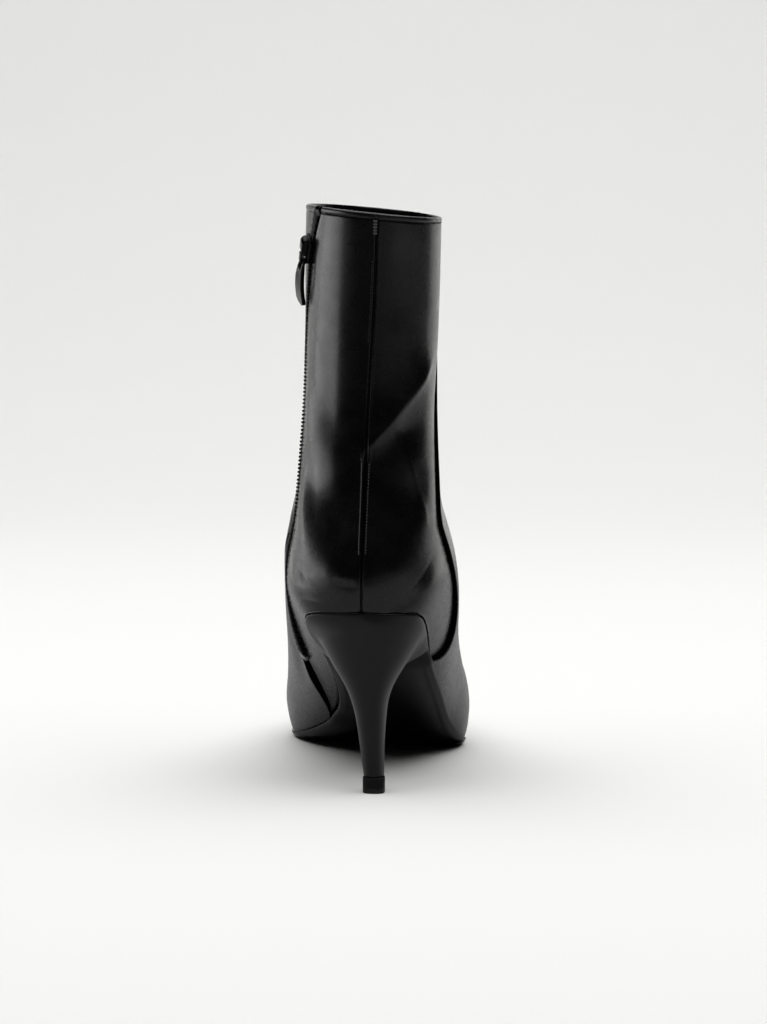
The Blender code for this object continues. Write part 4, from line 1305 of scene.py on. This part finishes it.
def outsole_mesh():
    section = np.concatenate((np.linspace(SOLE_TIP, 1.0, 26)[:-1], np.linspace(1.0, SOLE_END, 110)))
    inner, outer = sole_edge(section, -1.0), sole_edge(section, 1.0)
    across = outer - inner
    width = np.linalg.norm(across, axis=1)
    across /= width[:, None]
    forward = np.zeros_like(across)
    forward[:, 1] = np.clip(1.0 - section, 0.0, 1.0)
    lip = SOLE_LIP * (1.0 - ease_over(section, LIP_SPAN))[:, None]
    top_in = inner + lip * (forward - across)
    top_out = outer + lip * (forward + across)
    thickness = SOLE_THICKNESS + (WAIST_THICKNESS - SOLE_THICKNESS) * ease_over(section, WAIST_SPAN)
    dome = WAIST_DOME * ease_over(section, DOME_SPAN)
    share = 0.5 - 0.5 * np.cos(np.linspace(0.0, math.pi, 49))
    top = np.zeros((len(section), len(share), 3))
    bottom = np.zeros_like(top)
    for index, part in enumerate(share):
        inset = SOLE_BEVEL * (1.0 - 2.0 * part)
        top[:, index] = top_in + (top_out - top_in) * part
        beside = np.minimum(part, 1.0 - part) * width - SEAM_WIDTH
        top[:, index, 2] -= GAP - (GAP + BOND) * ease(beside / BOND_EASE)
        bottom[:, index] = top[:, index] + inset * across - SOLE_BEVEL * forward
        from_edge = np.minimum(part, 1.0 - part) * width / SOLE_ROUND
        round_off = np.sin(np.clip(from_edge, 0.0, 1.0) * math.pi / 2)
        depth = SOLE_EDGE + (thickness - SOLE_EDGE) * round_off + dome * math.sin(math.pi * part)
        bottom[:, index, 2] = np.maximum(top[:, index, 2] - depth, 0.0)
    bm = solid_between(top, bottom)
    round_rim(bm, 0.9, SOLE_CORNER, 2)
    return bm


add_piece("sole_unit", outsole_mesh(), sole_finish(), "boot", "sole_black", "outsole")

# Heel
# A moulded block in satin black lacquer, screwed up through the insole. It follows the seat's
# outline at the top and is drawn down into a slim stem.
HEEL_ROUND = 0.3
# Half widths, back and front of the stem, from the tip up to the seat, as shares of its height
HEEL_COLUMNS = ("inner", "outer", "back", "front")
HEEL_SECTIONS = (
    (0.056, 0.054, -0.066, 0.067),
    (0.076, 0.056, -0.071, 0.076),
    (0.099, 0.065, -0.085, 0.095),
    (0.147, 0.093, -0.111, 0.137),
    (0.238, 0.181, -0.150, 0.217),
    (0.321, 0.272, -0.196, 0.348),
    (0.387, 0.310, -0.239, 0.542),
)
HEEL_CORNER = math.radians(115.0)
HEEL_FRONT = 7.32
HEEL_LEVELS = 64
HEEL_SIDE_STEPS = 33
HEEL_BREAST_STEPS = 20
SEAT_BLEND = 0.16
TIP_HEIGHT = 6.5


def lacquer_finish():
    made, shader, nodes = new_finish("heel_satin_black", specular_ior_level=0.34)
    spray = pattern(nodes, "Noise", 0.5, detail=2.0)
    cloud = pattern(nodes, "Noise", 11.0, detail=3.0)
    tone = tones(nodes, cloud, (0.25, 0.0015), (0.8, 0.0035))
    bump = relief(nodes, spray, 0.3, 0.02)
    feed(nodes, shader, base_color=tone, roughness=0.28 + 0.1 * cloud, normal=bump)
    return made


def seat_outline():
    """Upper edge of the heel: round the back along the feather line, then across the breast."""
    section = np.linspace(HEEL_BACK, HEEL_FRONT, HEEL_SIDE_STEPS + 1)
    outer = skin(section, np.ones_like(section))
    inner = skin(section, -np.ones_like(section))[::-1]
    share = np.linspace(0.0, 1.0, HEEL_BREAST_STEPS + 1)[1:-1, None]
    breast = outer[-1] + (inner[0] - outer[-1]) * share
    ring = np.concatenate((outer, breast, inner[:-1]))
    ring[:, 2] -= GAP
    return ring


def heel_outline(curves, level):
    """Outline of the stem, round at the back and flat at the breast, with a level for each point."""
    turn = np.linspace(0.0, HEEL_CORNER, HEEL_SIDE_STEPS + 1)
    share = np.linspace(0.0, 1.0, HEEL_BREAST_STEPS + 1)[1:-1]
    corner = math.sin(HEEL_CORNER)
    x = np.concatenate((np.sin(turn), corner * (1 - 2 * share), -np.sin(turn[::-1][:-1])))
    forward = (1 - np.cos(turn)) / (1 - math.cos(HEEL_CORNER))
    y = np.concatenate((forward, np.ones_like(share), forward[::-1][:-1]))
    half = np.where(x > 0, curves["outer"](level), curves["inner"](level))
    back, front = curves["back"](level), curves["front"](level)
    return x * half * HEEL_HEIGHT, (back + (front - back) * y) * HEEL_HEIGHT


def loft(loops):
    """Rings of points, each bridged to the next."""
    bm = bmesh.new()
    rings = []
    for loop in loops:
        verts = [bm.verts.new(point) for point in loop]
        rings.append([bm.edges.new((verts[i - 1], verts[i])) for i in range(len(verts))])
    for lower, upper in zip(rings, rings[1:]):
        bmesh.ops.bridge_loops(bm, edges=lower + upper)
    return bm, rings


def heel_mesh():
    curves = {name: Curve(column) for name, column in zip(HEEL_COLUMNS, zip(*HEEL_SECTIONS))}
    seat = seat_outline()
    foot = TIP_HEIGHT + GAP
    loops = []
    for down in np.linspace(0.0, 1.0, HEEL_LEVELS + 1):
        z = seat[:, 2] + (foot - seat[:, 2]) * down
        level = (z - foot) / (HEEL_HEIGHT - foot) * (len(HEEL_SECTIONS) - 1)
        x, y = heel_outline(curves, level)
        blend = ease(1.0 - down / SEAT_BLEND)
        loops.append(np.stack((x + (seat[:, 0] - x) * blend, y + (seat[:, 1] - y) * blend, z), axis=1))
    bm, rings = loft(loops)
    top = [edge.verts[1] for edge in rings[0]]
    half = len(top) // 2
    for step in range(half):
        corners = [top[step], top[step + 1], top[-1 - step], top[-step]]
        if step == 0:
            corners = [top[0], top[1], top[-1]]
        elif step == half - 1:
            corners = [top[step], top[step + 1], top[-step]]
        bm.faces.new(corners)
    bmesh.ops.contextual_create(bm, geom=rings[-1])
    bmesh.ops.recalc_face_normals(bm, faces=bm.faces[:])
    round_edges(bm, rings[0] + rings[-1], HEEL_ROUND, 2)
    return bm


add_piece("heel_block", heel_mesh(), lacquer_finish(), "boot", "heel_satin_black", "heel", sharp=60.0)

# Heel tip
# The hard rubber lift under the heel's stem, moulded a little wider than it and pinned up into the
# heel. It is what treads on the floor.
TIP_HALF_WIDTH = 4.6
TIP_HALF_LENGTH = 5.2
TIP_ROUND = 0.62
TIP_BEVEL = 0.4


def rubber_finish():
    made, shader, nodes = new_finish("tip_rubber", specular_ior_level=0.25)
    speck = pattern(nodes, "Noise", 0.4, detail=3.0)
    tone = tones(nodes, speck, (0.3, 0.001), (0.8, 0.003))
    bump = relief(nodes, speck, 0.4, 0.05)
    feed(nodes, shader, base_color=tone, roughness=0.45 + 0.2 * speck, normal=bump)
    return made


def tip_mesh():
    turn = np.linspace(0.0, 2.0 * math.pi, 72, endpoint=False)
    x = np.sign(np.sin(turn)) * np.abs(np.sin(turn)) ** TIP_ROUND
    y = -np.sign(np.cos(turn)) * np.abs(np.cos(turn)) ** TIP_ROUND
    loops = []
    for z, inset in (
        (0.0, TIP_BEVEL), (TIP_BEVEL / 3, TIP_BEVEL / 3), (TIP_BEVEL, 0.0),
        (TIP_HEIGHT / 2, 0.0), (TIP_HEIGHT - TIP_BEVEL, 0.0), (TIP_HEIGHT, TIP_BEVEL / 2),
    ):
        wide, deep = TIP_HALF_WIDTH - inset, TIP_HALF_LENGTH - inset
        loops.append(np.stack((x * wide, y * deep, np.full_like(x, z)), axis=1))
    bm, rings = loft(loops)
    for ring in (rings[0], rings[-1]):
        bmesh.ops.contextual_create(bm, geom=ring)
    return bm


add_piece("top_lift", tip_mesh(), rubber_finish(), "boot", "tip_rubber", "heel_tip")

# Studio
# A pale paper sweep under two soft boxes: a wide one overhead, and one that lights the paper
# behind. Cards beside the set are seen only as they mirror in the boot: dim ones on the floor on the
# camera's side and on the right, a grey one past the toe, and bright low ones on the left.
IMAGE_HEIGHT = 1024
FOCAL_PIXELS = 3904
CAMERA_TURN = math.radians(3.0)
CAMERA_DISTANCE = 1.6
CAMERA_HEIGHT = 0.275
TARGET = Vector((0.004, 0.0, 0.1167))
SWEEP_WIDTH = 1.45
SWEEP_NEAR = -2.2
SWEEP_FAR = 1.1
SWEEP_ROUND = 0.7
SWEEP_TOP = 2.4
PAPER = (0.86, 0.86, 0.845, 1.0)


def sweep_mesh():
    flat = np.linspace(SWEEP_NEAR, SWEEP_FAR, 12)
    turn = np.linspace(0.0, math.pi / 2, 25)[1:]
    wall = np.linspace(SWEEP_ROUND, SWEEP_TOP, 8)[1:]
    past = np.concatenate((SWEEP_ROUND * np.sin(turn), np.full_like(wall, SWEEP_ROUND)))
    y = np.concatenate((flat, SWEEP_FAR + past))
    z = np.concatenate((0.0 * flat, SWEEP_ROUND * (1.0 - np.cos(turn)), wall))
    bm = bmesh.new()
    rows = len(y) - 1
    bmesh.ops.create_grid(bm, x_segments=8, y_segments=rows, size=1.0)
    for vertex in bm.verts:
        row = round((vertex.co.y + 1) / 2 * rows)
        vertex.co = (vertex.co.x * SWEEP_WIDTH, y[row], z[row])
    return bm


def add_staged(name, bm, finish):
    """Add a mesh in metres that belongs to the set and not to the boot."""
    mesh = bpy.data.meshes.new(name)
    bm.to_mesh(mesh)
    bm.free()
    mesh.shade_smooth()
    mesh.materials.append(finish)
    thing = bpy.data.objects.new(name, mesh)
    bpy.context.scene.collection.objects.link(thing)
    return thing


paper = new_finish("paper", base_color=PAPER, roughness=0.9, specular_ior_level=0.0)[0]
add_staged("paper_sweep", sweep_mesh(), paper)

# Cards that only the boot mirrors: name, middle, size across and up, turn about X and about Z in
# degrees, grey, glow
CARDS = (
    ("front_floor", (-1.15, -1.28, 0.002), (2.8, 1.84), (0.0, 0.0), 0.0, 0.06),
    ("front_right", (1.45, -1.28, 0.002), (2.4, 1.84), (0.0, 0.0), 0.0, 0.22),
    ("near_floor", (0.52, 0.72, 0.002), (1.9, 2.16), (0.0, 0.0), 0.42, 0.0),
    ("right_floor", (2.2, 0.9, 0.002), (1.46, 2.6), (0.0, 0.0), 0.0, 0.16),
    ("left_glow", (-2.4, 0.575, 0.003), (2.4, 1.85), (0.0, 0.0), 0.0, 3.3),
    ("left_rise", (-3.6, 0.95, 0.115), (3.3, 0.23), (90.0, 90.0), 0.0, 2.1),
    ("left_far", (-2.9, 2.9, 0.16), (1.5, 0.28), (90.0, 45.0), 0.0, 2.4),
)
for name, middle, (width, height), (tip, turn), grey, glow in CARDS:
    card_bm = bmesh.new()
    lying = Matrix.Rotation(math.radians(turn), 4, "Z") @ Matrix.Rotation(math.radians(tip), 4, "X")
    bmesh.ops.create_grid(
        card_bm, x_segments=1, y_segments=1, size=0.5,
        matrix=Matrix.Translation(middle) @ lying @ Matrix.Diagonal((width, height, 1.0, 1.0)),
    )
    card_finish = new_finish(
        name, base_color=(grey, grey, grey, 1.0), roughness=1.0, specular_ior_level=0.0,
        emission_color=(1.0, 1.0, 1.0, 1.0), emission_strength=glow,
    )[0]
    card = add_staged(name, card_bm, card_finish)
    card.visible_camera = False
    card.visible_diffuse = False
    card.visible_shadow = False

# Soft boxes: name, place, point aimed at, width, height, watts
SOFT_BOXES = (
    ("top_box", (0.0, 0.0, 1.6), (0.0, 0.0, 0.0), 3.3, 2.6, 56.0),
    ("paper_box", (0.0, 0.75, 1.75), (0.0, 1.8, 0.35), 2.4, 0.5, 3.0),
)
for name, place, aim, width, height, watts in SOFT_BOXES:
    lamp = bpy.data.lights.new(name, "AREA")
    lamp.shape = "RECTANGLE"
    lamp.size = width
    lamp.size_y = height
    lamp.energy = watts
    box = bpy.data.objects.new(name, lamp)
    box.location = place
    box.rotation_euler = (Vector(aim) - Vector(place)).to_track_quat("-Z", "Y").to_euler()
    bpy.context.scene.collection.objects.link(box)

# The room is dim, and past the paper the camera sees the paper's own tone
ROOM_LIGHT = 0.008
ROOM_SEEN = 0.82
world = bpy.data.worlds.new("room")
world.use_nodes = True
room = Field(world.node_tree)
seen = room.node("LightPath", {}, {}, "Is Camera Ray")
background = world.node_tree.nodes["Background"]
background.inputs["Color"].default_value = (1.0, 1.0, 0.985, 1.0)
strength = ROOM_LIGHT + seen * (ROOM_SEEN - ROOM_LIGHT)
world.node_tree.links.new(strength.socket, background.inputs["Strength"])
bpy.context.scene.world = world
bpy.context.scene.view_settings.view_transform = "Standard"

camera_data = bpy.data.cameras.new("camera")
camera_data.sensor_fit = "AUTO"
camera_data.sensor_width = 36.0
camera_data.lens = FOCAL_PIXELS / IMAGE_HEIGHT * camera_data.sensor_width
camera = bpy.data.objects.new("camera", camera_data)
camera.location = (
    TARGET.x + CAMERA_DISTANCE * math.sin(CAMERA_TURN),
    TARGET.y - CAMERA_DISTANCE * math.cos(CAMERA_TURN),
    CAMERA_HEIGHT,
)
camera.rotation_euler = (TARGET - camera.location).to_track_quat("-Z", "Y").to_euler()
bpy.context.scene.collection.objects.link(camera)
bpy.context.scene.camera = camera
